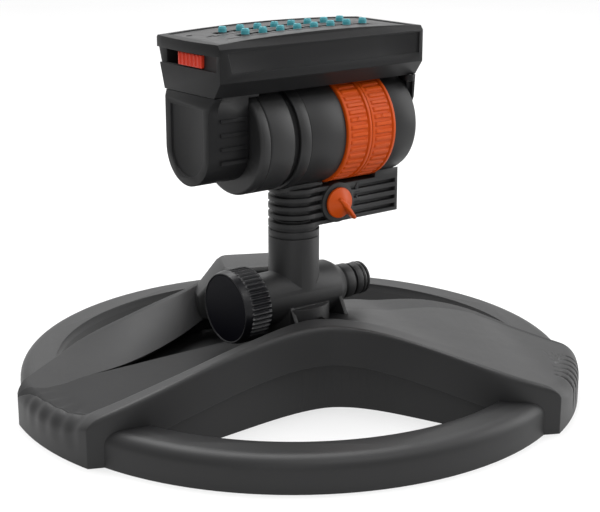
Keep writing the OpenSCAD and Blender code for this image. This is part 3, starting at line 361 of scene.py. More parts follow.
# %% Finish the floor
MIDDLE_SLOPE, MIDDLE_SHIFT, WIDENING = 0.19, 0.01, 0.21
GLOW_FULL, GLOW_LEAST = 0.19, 0.85
board = Finish("floor_board", Roughness=0.85, Emission_Strength=0.62)
board_place = board.node("ShaderNodeTexCoord", out="Object")
board_cloud = noise(board, board_place, 6, 3)
board_x = board.node("ShaderNodeSeparateXYZ", {}, {"Vector": board_place}, "X")
board_y = board.node("ShaderNodeSeparateXYZ", {}, {"Vector": board_place}, "Y")
board_side = board.node("ShaderNodeMath", {"operation": "ABSOLUTE"},
                        {0: board_x - board_y * MIDDLE_SLOPE - MIDDLE_SHIFT})
board_glow = board.node("ShaderNodeMapRange", {"interpolation_type": "SMOOTHSTEP"},
                        {"Value": board_side - board_y * WIDENING, "From Min": GLOW_FULL,
                         "From Max": GLOW_LEAST, "To Min": 1.0, "To Max": 0.0})
floor_data.materials.append(board.feed(
    Emission_Color=board.blend(board_glow, (0.45, 0.45, 0.45), (1, 1, 1)),
    Base_Color=board.blend(board_cloud, (0.27, 0.27, 0.27), (0.30, 0.30, 0.30))))
print("floor nodes:", len(board.tree.nodes))

# %% [markdown]
# ## Which part is made of what
#
# One table gives each finish its slot and its parts. A part from the CAD model comes with a
# plain material, which is taken out of its mesh before the finish goes in. Parts of one plastic
# share a slot, even where one of them has its own shade. The bar and its cheeks get a darker,
# less shiny copy of the grey: painted shade.

# %% Share out the finishes
PARTS = [
    (GREY, "grey_plastic", "base_ring saddle_cover tee_body arm gear_housing pivot_collar "
                           "end_housing"),
    # Painted shade: the bar's finish is a darker copy of the grey shell.
    (BAR_SHADED_GREY, "grey_plastic", "bar_body left_cheek right_cheek"),
    (DARK_GREY, "grey_plastic", "saddle_frame top_cover clamp_ring"),
    (BLACK, "black_plastic", "end_cap carrier_1 turbine_shaft output_hub ring_gear"),
    (ORANGE, "orange_plastic", "flow_knob left_range_ring right_range_ring"),
    (RED, "red_plastic", "width_slider"),
    (TEAL, "teal_rubber", "front_nozzle_rail rear_nozzle_rail"),
    (SEAL, "seal_rubber", "hose_o_ring cap_seal column_seal valve_seal hub_seal"),
    (WHITE, "white_plastic", "valve_spool stator_plate jet_selector turbine_wheel input_pinion "
                             "planet_1a planet_1b planet_1c planet_2a planet_2b planet_2c "
                             "manifold pivot_bush"),
    (STEEL, "steel", "base_screws bar_screws filter_screen"),
]
finish_of, slot_of = {}, {}
for finish, slot, names in PARTS:
    for name in names.split():
        finish_of[name], slot_of[name] = finish, slot
print("without a finish:", sorted(set(nodes) - set(finish_of)))
for name, thing in nodes.items():
    thing.data.materials.clear()
    thing.data.materials.append(finish_of[name])

# %% [markdown]
# ## Making a piece
#
# Every new piece is worked on as a bmesh, a mesh that is held in memory while operators shape
# it. At the end it becomes mesh data, gets its finish, and is told which part of the sprinkler
# it rides with, so that it moves when the joint does. Unless a call says otherwise, it has the
# finish of that part. A few steps come back in many pieces, so they are helpers.

# %% Helpers for every piece
SMOOTH_BELOW = 34


def make_piece(name, mesh, on, finish=None, sharp=SMOOTH_BELOW):
    """Turn a finished bmesh into a smooth piece that rides with a CAD part."""
    data = bpy.data.meshes.new(name)
    mesh.to_mesh(data)
    mesh.free()
    data.polygons.foreach_set("use_smooth", [True] * len(data.polygons))
    data.set_sharp_from_angle(angle=math.radians(sharp))
    data.materials.append(finish or finish_of[on])
    piece = add_object(name, data)
    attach(piece, nodes[on]["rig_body"])
    print(name, "faces", len(data.polygons))
    return piece


def flattened(mesh, angle):
    """Join neighbouring faces that turn by less than an angle in degrees."""
    bmesh.ops.dissolve_limit(mesh, angle_limit=math.radians(angle), use_dissolve_boundaries=False,
                             verts=mesh.verts, edges=mesh.edges, delimit=set())


def bevelled(mesh, width, sharp, steps):
    """Bevel each edge that turns by more than an angle in degrees, and count those edges."""
    corners = [e for e in mesh.edges
               if len(e.link_faces) == 2 and e.calc_face_angle() > math.radians(sharp)]
    bmesh.ops.bevel(mesh, geom=corners, offset=width, offset_type="OFFSET", segments=steps,
                    profile=0.5, affect="EDGES", clamp_overlap=True, material=-1)
    return len(corners)


def hulled(mesh):
    """Wrap all points of a bmesh in one convex skin and delete what lies inside."""
    hull = bmesh.ops.convex_hull(mesh, input=mesh.verts)
    bmesh.ops.delete(mesh, geom=hull["geom_interior"] + hull["geom_unused"], context="VERTS")


print("pieces are smooth below", SMOOTH_BELOW, "degrees")

# %% [markdown]
# ## Rounding the moulded edges
#
# No moulded part has a knife edge: the tool is cut with a small radius, and that radius is
# what catches the light. The CAD shell is exact but sharp, so the parts that are seen are
# copied, their loose triangles are merged, flat areas are joined into whole faces, and every
# sharp edge is bevelled. The copy then stands for the CAD part. The table gives each radius in
# millimetres, larger where the moulding is thick.

# %% Round the edges of the parts that are seen
MERGE_WITHIN = 0.002 * MM
FLAT_BELOW, CORNER_ABOVE = 0.6, 32


def rounded(name, width):
    """Let a copy with rounded corners stand for a CAD part."""
    mesh = bmesh.new()
    mesh.from_mesh(nodes[name].data)
    bmesh.ops.remove_doubles(mesh, verts=mesh.verts, dist=MERGE_WITHIN)
    flattened(mesh, FLAT_BELOW)
    print(name, "corners", bevelled(mesh, width * MM, CORNER_ABOVE, 2))
    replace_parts(make_piece(name + "_moulded", mesh, name), name)


ROUNDED = {
    "base_ring": 0.5, "tee_body": 0.35, "arm": 0.35, "bar_body": 0.9, "left_cheek": 0.9,
    "right_cheek": 0.4, "gear_housing": 0.4, "pivot_collar": 0.3, "end_housing": 0.4,
    "clamp_ring": 0.3, "top_cover": 0.3, "width_slider": 0.2, "front_nozzle_rail": 0.7,
    "rear_nozzle_rail": 0.7,
}
for name, width in ROUNDED.items():
    rounded(name, width)

# %% [markdown]
# ## The saddle
#
# The saddle is one thin moulding that bridges the ring: a front skirt, a rail, a sunk floor, and
# a thin wall at the back that lies down into the left foot. The CAD part has its outline and
# heights, but few stations and small radii. A skin is lofted over nearly the same rules with
# fifteen times as many stations, so that the feet get their full rounding. The rules are a plan
# outline, a height along the base, and a cross-section whose corners carry a radius.
#
# All of it is drawn in millimetres and scaled at the end. What stands on the saddle is drawn
# square to the arm and then turned with it, as the arm stands at an angle to the base.

# %% Sizes of the saddle, in millimetres
# The ring outside and inside, the circle that the feet end on, and half the whole length.
RING_R, RING_IN, FOOT_R, HALF_LENGTH = 145.0, 126.3, 151.0, 146
# Heights of the feet, the ridge and the sunk floor, and how thick the wall is.
FOOT_H, RIDGE_H, FLOOR_H, WALL = 20.5, 44.5, 22.0, 2.4
# How far forward the front line lies at the feet and at its waist, where the waist is, how far
# forward the feet's back corners lie, and how far back the saddle goes behind the tee.
FRONT, WAIST, WAIST_X, BACK_CORNER, REAR_Y = 98.5, 47.6, 10.8, 36.5, 57
# The skirt's height, the front and rear rail's width, and the dip that the hose passes over.
SKIRT, RAIL_W, REAR_RAIL, HOSE_DROP = 20.3, 11.0, 4.6, 19
FRONT_X = math.sqrt(FOOT_R ** 2 - FRONT ** 2)
BACK_X = math.sqrt(FOOT_R ** 2 - BACK_CORNER ** 2)
BACK_LINE = [(BACK_X, -BACK_CORNER), (RING_IN - 1, 2), (RING_IN - 14, 21), (RING_IN - 36, 29),
             (58, 44), (42, REAR_Y - 1), (22, REAR_Y + 1), (0, REAR_Y + 1)]
# The rear edge of the sunk floor: x as a share of the ring's radius, and y.
FLOOR_LINE = [(-0.96, -48.2), (-0.90, -43.7), (-0.83, -37.8), (-0.69, -29.2), (-0.565, -17.7),
              (-0.46, -9.6), (-0.29, 3), (-0.2, 9), (0.1, 14), (1, 14)]
print("the feet's corners are at x", round(FRONT_X, 1), "and", round(BACK_X, 1))


# %% Draw a piece in millimetres
HEAD_TURN = math.radians(28)


def add_piece(name, mesh, on, finish=None, turn=HEAD_TURN, sharp=SMOOTH_BELOW):
    """Turn and scale a bmesh that is drawn in millimetres, and make it a piece."""
    bmesh.ops.rotate(mesh, verts=mesh.verts, cent=(0, 0, 0), matrix=Matrix.Rotation(turn, 3, "Z"))
    bmesh.ops.scale(mesh, vec=(MM, MM, MM), verts=mesh.verts)
    bmesh.ops.recalc_face_normals(mesh, faces=mesh.faces)
    return make_piece(name, mesh, on, finish, sharp)


# %% [markdown]
# The outline in plan is a front line and a back line that meet at the back of each foot. Both
# are read by one number, u, that runs from -1 at the left foot to 1 at the right one. The front
# line is a wave with its waist a little right of the middle, and then an arc round the foot. The
# back line is a smooth curve through a few points, the same on both sides.

# %% Curves that ease and mix
def rise(start, end, x):
    """0 before the start, 1 after the end, and a smooth rise between them."""
    t = min(1.0, max(0.0, (x - start) / (end - start)))
    return t * t * (3 - 2 * t)


def mix(a, b, share):
    """A value between two, by a share from 0 to 1."""
    return a + (b - a) * share


def lookup(x, table):
    """The height of a line of straight pieces at x."""
    for (x0, y0), (x1, y1) in zip(table, table[1:]):
        if x <= x1:
            return y0 + (y1 - y0) * max(0.0, (x - x0) / (x1 - x0))
    return table[-1][1]


# %% The outline in plan
# The share of u that runs along the front, before the feet. The wave is narrower to the right of
# the waist, and each side has its own bend.
FRONT_SHARE = 28 / 36
RIGHT_WIDTH, LEFT_BEND, RIGHT_BEND = 0.83, 0.83, 0.95


def front_point(u):
    """The front line, with u from -1 at the left foot's back to 1 at the right's."""
    side, share = math.copysign(1, u), abs(u) / FRONT_SHARE
    if share > 1:
        turn = mix(math.asin(FRONT / FOOT_R), math.asin(BACK_CORNER / FOOT_R),
                   (share - 1) / (1 / FRONT_SHARE - 1))
        return Vector((side * FOOT_R * math.cos(turn), -FOOT_R * math.sin(turn)))
    x = side * share * FRONT_X
    left = x < WAIST_X
    width = FRONT_X + WAIST_X if left else RIGHT_WIDTH * FRONT_X - WAIST_X / 3
    t = min(1.0, (abs(x - WAIST_X) / width) ** (LEFT_BEND if left else RIGHT_BEND))
    return Vector((x, -FRONT + (FRONT - WAIST) * (0.5 + 0.5 * math.cos(math.pi * t))))


def back_point(u):
    """The back line: a smooth curve through its points."""
    last = len(BACK_LINE) - 1
    t = (1 - abs(u)) * last
    i = min(last - 1, int(t))
    f = t - i
    a, b, c, d = (Vector(BACK_LINE[min(last, max(0, i + k))]) for k in (-1, 0, 1, 2))
    spot = 0.5 * (2 * b + (c - a) * f + (2 * a - 5 * b + 4 * c - d) * f ** 2
                  + (3 * b - a - 3 * c + d) * f ** 3)
    return Vector((math.copysign(1, u) * spot.x, spot.y))


print("waist:", [round(v, 1) for v in front_point(WAIST_X / FRONT_X * FRONT_SHARE)])


# %% Heights along the base
HUMP_END, HUMP_SOFTNESS = 0.815 * RING_R, 0.01
SKIRT_DOWN = (0.60 * RING_R, 0.72 * RING_R)


def ridge(x):
    """The top of the saddle: a hump that runs out softly into the flat feet."""
    s = 1 - (x / HUMP_END) ** 2
    return FOOT_H + (RIDGE_H - FOOT_H) * (s + math.sqrt(s * s + HUMP_SOFTNESS)) / 2


def skirt_low(x):
    """The lower edge of the skirt: a band under the ridge, down to the ground at the feet."""
    return max(0.0, ridge(x) - SKIRT) * (1 - rise(*SKIRT_DOWN, abs(x)))


print("height in the middle:", round(ridge(0), 1))

# %% [markdown]
# A cross-section is a list of corners: a distance in from the front, a height, and a radius.
# It is split in two at the open pocket. The first half is the skirt, rail and floor, the second
# is the rear wall. `pocket` is 1 where the pocket is open: there the floor turns down and the
# wall ends in a free edge. At the left foot it is 0, and the two halves meet in a crease. To the
# right of the middle the rail merges into one closed top, which is lower at the back, where the
# hose passes over it.

# %% The corners of a cross-section
# Each pair is a stretch of x over which something comes in.
MERGES, FOOT_RISES, RAIL_WIDENS = (-8, 30), (0.80 * RING_R, 0.93 * RING_R), (-35, 20)
HOSE_PASSES, POCKET_OPENS, WALL_HANGS = (0.17 * RING_R, 0.69 * RING_R), (-104, -84), (-108, -30)
# Sections shorter than SHORT have smaller corners. The radii come in pairs, closed and open.
SHORT, EDGE_R, RAIL_FOOT_R, BACK_R = 45, 3, 4, 1.6
RAIL_RADII, FOLD_RADII, REAR_RADII = (9, 2.4), (6, 2.5), (8, 1.2)
# How much wider the rail gets, how deep its floor lies at least, and how the top slopes back.
RAIL_EXTRA, LEAST_STEP, SLOPE_BEND = 8, 1.2, 1.4
# The floor's free edge turns down this far. The wall's free edge lies in and down this far.
LIP, LIP_END, WALL_IN, WALL_DOWN = 7, 8, 14, 15


def corners_of(u):
    """Corners (inwards, height, radius) of the two halves, with the front and inward vectors."""
    f, b = front_point(u), back_point(u)
    length = max((b - f).length, 2)
    n = (b - f) / length
    small = min(1.0, length / SHORT)
    e = EDGE_R * small
    closed = rise(*MERGES, f.x)
    foot = rise(*FOOT_RISES, abs(f.x))
    drop = HOSE_DROP * (1 - rise(*HOSE_PASSES, b.x)) * rise(*MERGES, b.x)
    zf, zr = ridge(f.x), ridge(b.x) - drop
    rear = max(0.0, min(skirt_low(b.x) - drop, FLOOR_H - 2 * WALL - 1))
    rail = min(RAIL_W + RAIL_EXTRA * rise(*RAIL_WIDENS, f.x), length * 0.25)
    back = min(REAR_RAIL, length * 0.12)
    reach = (lookup(mix(f.x, b.x, 0.5) / RING_R, FLOOR_LINE) - f.y) / max(n.y, 0.05)
    v = min(length - back - e, max(rail + 8 * small, reach))
    is_open = 1 - closed
    fold_x = f.x + n.x * v
    pocket = is_open * rise(*POCKET_OPENS, fold_x)
    rail_open = is_open * (1 - foot)
    floor_z = min(FLOOR_H, zf - LEAST_STEP)
    h = [zf + (zr - zf) * (q / length) ** SLOPE_BEND for q in (rail, rail + e, v, length - back)]
    z0 = mix(h[0], zf, rail_open)
    z1, z2 = mix(h[1], floor_z, rail_open), mix(h[2], floor_z, is_open * (1 - 0.8 * foot))
    first = [(0, skirt_low(f.x), 0), (0, zf, e), (rail, z0, mix(*RAIL_RADII, rail_open)),
             (rail + e, z1, RAIL_FOOT_R * small),
             (v, z2, mix(FOLD_RADII[0] * closed, FOLD_RADII[1], pocket)),
             (v + 0.6, z2 - LIP * pocket, 0),
             (mix(v + 0.8, length - 2, pocket), z2 - LIP_END * pocket, 0)]
    hang = is_open * rise(*WALL_HANGS, fold_x)
    low = (mix(v, length - back - WALL_IN, hang), mix(z2, max(rear, zr - WALL_DOWN), hang), 0)
    second = [low, (length - back, mix(h[3], zr, is_open), mix(*REAR_RADII, is_open)),
              (length, zr, BACK_R), (length, rear, 0)]
    return first, second, f, n


print("corners:", [len(part) for part in corners_of(0)[:2]])


# %% Round the corners of a cross-section
CORNER_STEPS, NEARLY_HALF = 5, 0.48


def rounded_path(corners, between):
    """Points along corners, each rounded by its radius as far as its neighbours allow.

    between says how many points lie on each straight stretch."""
    spots = [Vector(c[:2]) for c in corners]
    path = [spots[0]]

    def straight(end, count):
        start = path[-1]
        path.extend(start.lerp(end, (k + 1) / (count + 1)) for k in range(count + 1))

    for i in range(1, len(spots) - 1):
        before, after = spots[i - 1] - spots[i], spots[i + 1] - spots[i]
        cut = min(corners[i][2], NEARLY_HALF * before.length, NEARLY_HALF * after.length)
        start = spots[i] + before.normalized() * cut
        end = spots[i] + after.normalized() * cut
        straight(start, between[i - 1])
        for k in range(1, CORNER_STEPS + 1):
            t = k / CORNER_STEPS
            path.append(start * (1 - t) ** 2 + spots[i] * 2 * t * (1 - t) + end * t * t)
    straight(spots[-1], between[-1])
    return path


# %% [markdown]
# The base is picked up by its feet, so they are rounded over and have finger grips: broad waves
# on the left foot and thin grooves on the right one. Both shapes are sums on the place of a
# point. The first lowers a point near the outline along a quarter circle, and the second says
# how deep a grip is cut there. A bump texture could draw the grips, but a bump stays flat at the
# outline, where the grips have to show.

# %% Round over the feet and cut the finger grips
# The rounding's radius, the x where a foot starts, and the y where its front corner is sharper.
FOOT_EDGE, FOOT_STARTS, CORNER_SHARPENS = 8.5, (0.68 * RING_R, 0.78 * RING_R), (84, 97)
# The turn of the first grip and the step to the next, in degrees, and how deep it is.
WAVE_FROM, WAVE_PITCH, WAVE_DEEP = 17, 4.4, 0.7
GROOVE_FROM, GROOVE_PITCH, GROOVE_DEEP, GROOVES = 19, 2.5, 1.5, 6
# Where the grips come in: by the distance from the middle, by the height and by the turn.
WAVES_IN, WAVES_UP, WAVES_FIRST, WAVES_LAST = (FOOT_R - 19, FOOT_R - 9), (5, 14), (18, 22), (38, 40)
GROOVES_IN, GROOVE_SHIFT, GROOVE_RUN, GROOVES_UP, HALF_GROOVE = 18, 1.4, 4, (4, 9), (0.12, 0.38)


def eased(spot):
    """Lower the top of a foot where it nears the outline, so that its edge is well rounded."""
    near = min(FOOT_EDGE, max(0.0, spot.xy.length - (FOOT_R - FOOT_EDGE)))
    fall = FOOT_EDGE - math.sqrt(FOOT_EDGE ** 2 - near ** 2)
    fall *= rise(*FOOT_STARTS, abs(spot.x)) * (1 - 0.5 * rise(*CORNER_SHARPENS, -spot.y))
    return Vector((spot.x, spot.y, max(0, min(spot.z, ridge(spot.x) - fall))))


def grip_depth(spot):
    """Depth of the finger grips over the edge of the feet at a point."""
    turn = math.degrees(math.atan2(-spot.y, abs(spot.x)))
    if spot.x < 0:
        over = rise(*WAVES_IN, spot.xy.length) * rise(*WAVES_UP, spot.z)
        swell = 0.5 - 0.5 * math.cos(math.radians((turn - WAVE_FROM) / WAVE_PITCH * 360))
        return over * WAVE_DEEP * swell * rise(*WAVES_FIRST, turn) * (1 - rise(*WAVES_LAST, turn))
    near, i = min((abs(turn - GROOVE_FROM - GROOVE_PITCH * i), i) for i in range(GROOVES))
    start = FOOT_R - GROOVES_IN + GROOVE_SHIFT * i
    over = rise(start, start + GROOVE_RUN, spot.xy.length) * rise(*GROOVES_UP, spot.z)
    return over * GROOVE_DEEP * (1 - rise(*HALF_GROOVE, near))


# %% [markdown]
# The skin starts as a flat grid. One side of the grid runs along the base, the other along the
# cross-section, and each corner of it is moved to its place. Solidify then gives it a wall. The
# stations are closer together round the feet, and there each is also averaged with its
# neighbours, because the sections fan out and their small radii would show as creases.

# %% Loft the cross-sections along the saddle
# The share of the stations that lies along the front, and where the outline stops before the
# front and back line meet.
STATIONS, FRONT_STATIONS, OUTLINE_END = 560, 0.55, 0.998
# The most neighbours on each side that a station is averaged with. It comes in by the distance
# from the front line and by x.
AVERAGED, AVERAGED_IN, AVERAGED_FROM = 18, (2, 14), (60, 90)


def station(i):
    """The number u of a station, with the stations closer together round the feet."""
    t = 2 * i / STATIONS - 1
    if abs(t) < FRONT_STATIONS:
        share = abs(t) * FRONT_SHARE / FRONT_STATIONS
    else:
        share = mix(FRONT_SHARE, 1, (abs(t) - FRONT_STATIONS) / (1 - FRONT_STATIONS))
    return math.copysign(share, t) * OUTLINE_END


def lofted(half, between):
    """Rows of points, one for each station, over one half of the cross-section."""
    loft = []
    for i in range(STATIONS + 1):
        *halves, f, n = corners_of(station(i))
        loft.append([Vector((f.x + n.x * d, f.y + n.y * d, z))
                     for d, z in rounded_path(halves[half], between)])
    rows = []
    for i, raw in enumerate(loft):
        f = front_point(station(i))
        row = []
        for j, spot in enumerate(raw):
            inside = rise(*AVERAGED_IN, (spot.xy - f).length)
            reach = int(AVERAGED * inside * rise(*AVERAGED_FROM, abs(f.x)))
            reach = min(reach, i, STATIONS - i)
            near = loft[i - reach:i + reach + 1]
            row.append(eased(sum((r[j] for r in near), Vector()) / len(near)))
        # The grips are cut towards a point under the foot, a little in from the front line.
        under = Vector((0.9 * f.x, 0.9 * f.y, -10))
        rows.append([p - (p - under).normalized() * grip_depth(p) for p in row])
    print("rows", len(rows), "points in each", len(rows[0]))
    return rows


# %% [markdown]
# The sunk floor gets a darker, duller copy of the grey finish, which is painted shade, so the
# front half becomes two pieces with a finish each. Each has the rows of the whole half, with the
# points beyond the shared line folded onto it. Merging doubles then removes what was folded, and
# the two edges fit exactly.

# %% Make the skins of the saddle
# The rail's points across, in its corner to the floor, and the x where the floor ends.
RAIL_POINTS, FLOOR_END = 26, 12
FRONT_WALL, REAR_WALL, SKIN_SEAM, LEAST_Z, SKIN_SMOOTH = 1.9, 1.5, 0.003, 0.02, 50
# Points on the straight stretches of the two halves.
FRONT_BETWEEN, REAR_BETWEEN = (5, 12, 1, 12, 1, 1), (10, 2, 4)


def folded(rows, keep_rail):
    """Fold the floor onto the rail's inner line, or the rail onto it."""
    last = len(rows[0]) - 1
    pick = min if keep_rail else max
    made = []
    for i, row in enumerate(rows):
        line = RAIL_POINTS if front_point(station(i)).x < FLOOR_END else last
        made.append([row[pick(j, line)] for j in range(last + 1)])
    return made


def skin(name, rows, thickness, finish):
    """Lay a grid over rows of points and give it a wall."""
    across = len(rows[0]) - 1
    mesh = bmesh.new()
    bmesh.ops.create_grid(mesh, x_segments=STATIONS, y_segments=across, size=0.5)
    for vert in mesh.verts:
        i = round((vert.co.x + 0.5) * STATIONS)
        j = round((vert.co.y + 0.5) * across)
        vert.co = rows[i][j]
    bmesh.ops.remove_doubles(mesh, verts=mesh.verts, dist=SKIN_SEAM)
    bmesh.ops.recalc_face_normals(mesh, faces=mesh.faces)
    if sum(face.normal.z * face.calc_area() for face in mesh.faces) < 0:
        bmesh.ops.reverse_faces(mesh, faces=mesh.faces)
    bmesh.ops.solidify(mesh, geom=mesh.faces, thickness=thickness)
    for vert in mesh.verts:
        vert.co.x = min(HALF_LENGTH, max(-HALF_LENGTH, vert.co.x))
        vert.co.z = max(LEAST_Z, vert.co.z)
    return add_piece(name, mesh, "saddle_cover", finish, turn=0, sharp=SKIN_SMOOTH)


front_rows = lofted(0, FRONT_BETWEEN)
saddle_front = skin("saddle_front", folded(front_rows, True), FRONT_WALL, GREY)
# Painted shade: the sunk floor takes a darker, duller copy of the grey shell.
skin("saddle_floor", folded(front_rows, False), FRONT_WALL, FLOOR_SHADED_GREY)
# Painted shade: the rear wall takes a darker copy of the grey shell.
skin("saddle_rear", lofted(1, REAR_BETWEEN), REAR_WALL, WALL_SHADED_GREY)
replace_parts(saddle_front, "saddle_cover")

# %% [markdown]
# The block behind the tee is a tapered box with soft corners, and a lower shoulder on its left.
# A scaled cube would have hard upright corners, so it is the convex hull of small circles at
# two or three heights, as in the CAD part, with a bevel round its edges.

# %% Make the block behind the tee
# Each row gives heights, depths and sides, and puts a circle wherever the three meet.
block = bmesh.new()
for heights, depths, sides, radius in (((26, 54), (30, 51), (-30, 12), 5),
                                       ((56,), (32, 49), (-28, 10), 5),
                                       ((26, 38.5), (36, 49), (-44,), 4)):
    for z, y, x in product(heights, depths, sides):
        place = Matrix.Translation((x, y, z))
        bmesh.ops.create_circle(block, segments=20, radius=radius, matrix=place)
hulled(block)
flattened(block, 1)
print("corners of the block", bevelled(block, 1.2, 17, 3))
add_piece("saddle_block", block, "saddle_cover", turn=0)

# %% [markdown]
# ## Turned and knurled parts
#
# The screw cap, the two range rings and the flow knob are round mouldings that are turned by
# hand. The CAD grips are plain bars. Here the profile is wrapped round its axis on a fine grid,
# and a grip is a rise and fall of the radius with soft flanks, as it comes out of a mould that
# was cut with a ball-nosed tool. A profile that is spun would be quicker, but it stays round.

# %% Wrap a profile round an axis
WRAP_SEAM = 0.002


def wrapped(profile, steps, place, grip=None, grip_from=0.0):
    """A profile of (along, radius) points wrapped round X, gripped above a radius, in place."""
    mesh = bmesh.new()
    last = len(profile) - 1
    bmesh.ops.create_grid(mesh, x_segments=last, y_segments=steps, size=0.5)
    for vert in mesh.verts:
        along, radius = profile[round((vert.co.x + 0.5) * last)]
        turn = math.tau * (vert.co.y + 0.5)
        if grip and radius > grip_from:
            radius += grip(along, math.degrees(turn))
        vert.co = place @ Vector((along, radius * math.sin(turn), radius * math.cos(turn)))
    bmesh.ops.remove_doubles(mesh, verts=mesh.verts, dist=WRAP_SEAM)
    return mesh


def arc(x, r, radius, start, end, count=6):
    """Points of a rounded edge, by its centre and the two angles in degrees."""
    turns = [math.radians(start + (end - start) * k / count) for k in range(count + 1)]
    return [(x + radius * math.cos(turn), r + radius * math.sin(turn)) for turn in turns]


print("a quarter arc has", len(arc(0, 0, 1, 0, 90)), "points")

# %% [markdown]
# Small raised signs are moulded in one with a part. Each is a flat outline that is extruded. It
# is drawn lying flat round the origin, and then laid on the face of its part, a little sunk in.

# %% Raise a small mark off a face
def raised(mesh, corners, radius, place, depth, stretch=(1, 1, 1), pull=0.0):
    """A flat outline of some corners, pulled to a tip, thickened and put in place."""
    made = bmesh.ops.create_circle(mesh, cap_ends=True, segments=corners, radius=radius)["verts"]
    bmesh.ops.scale(mesh, vec=stretch, verts=made)
    if pull:
        tip = max(made, key=lambda v: v.co.y)
        bmesh.ops.translate(mesh, vec=(0, pull, 0), verts=[tip])
    face = made[0].link_faces[0]
    top = bmesh.ops.extrude_face_region(mesh, geom=[face])["geom"]
    lifted = [v for v in top if isinstance(v, bmesh.types.BMVert)]
    bmesh.ops.translate(mesh, vec=(0, 0, depth), verts=lifted)
    bmesh.ops.transform(mesh, matrix=place, verts=made + lifted)


# %% [markdown]
# The cap closes the end of the water pipe that the hose does not use. It has a flat face inside
# a thin rim, and forty-four round ribs that start a little behind the rim. The face gets a
# darker, less shiny copy of the black finish, which is painted shade, and it is a little
# smoother, so it is a piece of its own with its own finish.

# %% Make the screw cap
CAP_FRONT, CAP_BACK, CAP_R, CAP_RIBS, PIPE_Z = -45.0, -28.8, 19.35, 44, 48.8
CAP_DEEP, BORE_R = CAP_BACK - 12.4, 12.7
RIB_DEEP, RIBS_START = 1.4, (CAP_FRONT + 3.4, CAP_FRONT + 5.2)
cap_profile = ([(CAP_FRONT + 0.9, 0), (CAP_FRONT + 0.9, 17.4), (CAP_FRONT + 0.3, 17.4)]
               + arc(CAP_FRONT + 0.5, 17.9, 0.45, 180, 90)
               + [(CAP_FRONT + 1.8, 18.8), (CAP_FRONT + 3.2, 19.2)]
               + [(CAP_FRONT + 3.8 + 0.7 * k, CAP_R) for k in range(17)]
               + [(CAP_BACK, 18.7), (CAP_BACK, 16.6), (CAP_BACK - 2, 16.6), (CAP_BACK - 2, BORE_R),
                  (CAP_DEEP, BORE_R), (CAP_DEEP, 0)])
face_profile = [(CAP_FRONT + 0.35, 0), (CAP_FRONT + 0.35, 17.35), (CAP_FRONT + 1.2, 17.35),
                (CAP_FRONT + 1.2, 0)]
pipe = Matrix.Translation((0, 0, PIPE_Z))


def cap_grip(along, turn):
    """The hollows between the ribs of the cap."""
    rib = 0.5 + 0.5 * math.cos(math.radians(turn * CAP_RIBS))
    return -RIB_DEEP * (1 - rib ** 0.8) * rise(*RIBS_START, along)


cap_mesh = wrapped(cap_profile, 480, pipe, cap_grip, grip_from=18.9)
cap = add_piece("cap_shell", cap_mesh, "end_cap")
add_piece("cap_face", wrapped(face_profile, 120, pipe), "end_cap", CAP_FACE_SHADED_BLACK)
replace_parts(cap, "end_cap")

# %% [markdown]
# The range rings limit how far the bar swings to each side. Each has two thin rims, forty-six
# short bars between them, and a small arrow head on the bars that shows how the ring stands.

# %% Make the range rings
BARREL_Z, RING_TOP, RING_BORE, RING_BARS = 135.9, 28.8, 23.15, 46
RING_DEEP = RING_TOP - 1.0
# A rim's edge, where its flat top and its flank end, and where the floor of the bars starts.
ROUND_EDGE, RIM_TOP, RIM_FOOT, BARS_FLOOR = 0.35, 1.5, 1.9, 2.3
# How high a bar is, how its flanks rise by its share of a turn, and how its ends rise.
BAR_HIGH, BAR_FLANK, BAR_ENDS = 0.85, (0.22, 0.31), (2.2, 3.0)
ARROW_TURN = math.radians(74)
barrel = Matrix.Translation((0, 0, BARREL_Z))


def ring_profile(left, right):
    """A rim, a flat floor for the bars and a rim, from the left to the right."""
    wide = right - left - 2 * BARS_FLOOR
    floor_at = [left + BARS_FLOOR + wide * k / 24 for k in range(25)]
    left_rim = arc(left + ROUND_EDGE, RING_TOP - ROUND_EDGE, ROUND_EDGE, 180, 90, 3)
    right_rim = arc(right - ROUND_EDGE, RING_TOP - ROUND_EDGE, ROUND_EDGE, 90, 0, 3)
    return ([(left, RING_BORE)] + left_rim
            + [(left + RIM_TOP, RING_TOP), (left + RIM_FOOT, RING_DEEP)]
            + [(x, RING_DEEP) for x in floor_at]
            + [(right - RIM_FOOT, RING_DEEP), (right - RIM_TOP, RING_TOP)]
            + right_rim + [(right, RING_BORE), (left, RING_BORE)])


def ring_grip(left, right):
    """The bars between the rims, as a height that depends on the place and the turn."""
    def grip(along, turn):
        share = abs((turn * RING_BARS / 360) % 1 - 0.5)
        ends = rise(*BAR_ENDS, along - left) * rise(*BAR_ENDS, right - along)
        return BAR_HIGH * (1 - rise(*BAR_FLANK, share)) * ends
    return grip


for side, left, right in (("left", 13.0, 28.85), ("right", 29.15, 45.0)):
    node = side + "_range_ring"
    ring = wrapped(ring_profile(left, right), 672, barrel, ring_grip(left, right), grip_from=27.5)
    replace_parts(add_piece(side + "_ring_shell", ring, node), node)
    arrow = bmesh.new()
    on_bars = (Matrix.Translation((left + 7.6, 0, BARREL_Z)) @ Matrix.Rotation(ARROW_TURN, 4, "X")
               @ Matrix.Translation((0, 0, RING_TOP - 0.1)))
    raised(arrow, 3, 1.3, on_bars, 0.3)
    add_piece(side + "_ring_arrow", arrow, node)

# %% [markdown]
# The flow knob is a low cone with a slim pointer that runs out over its edge. The pointer is the
# hull of small circles at three places along it. At each place they are drawn at three heights,
# and the top one is smaller, which rounds the edge.

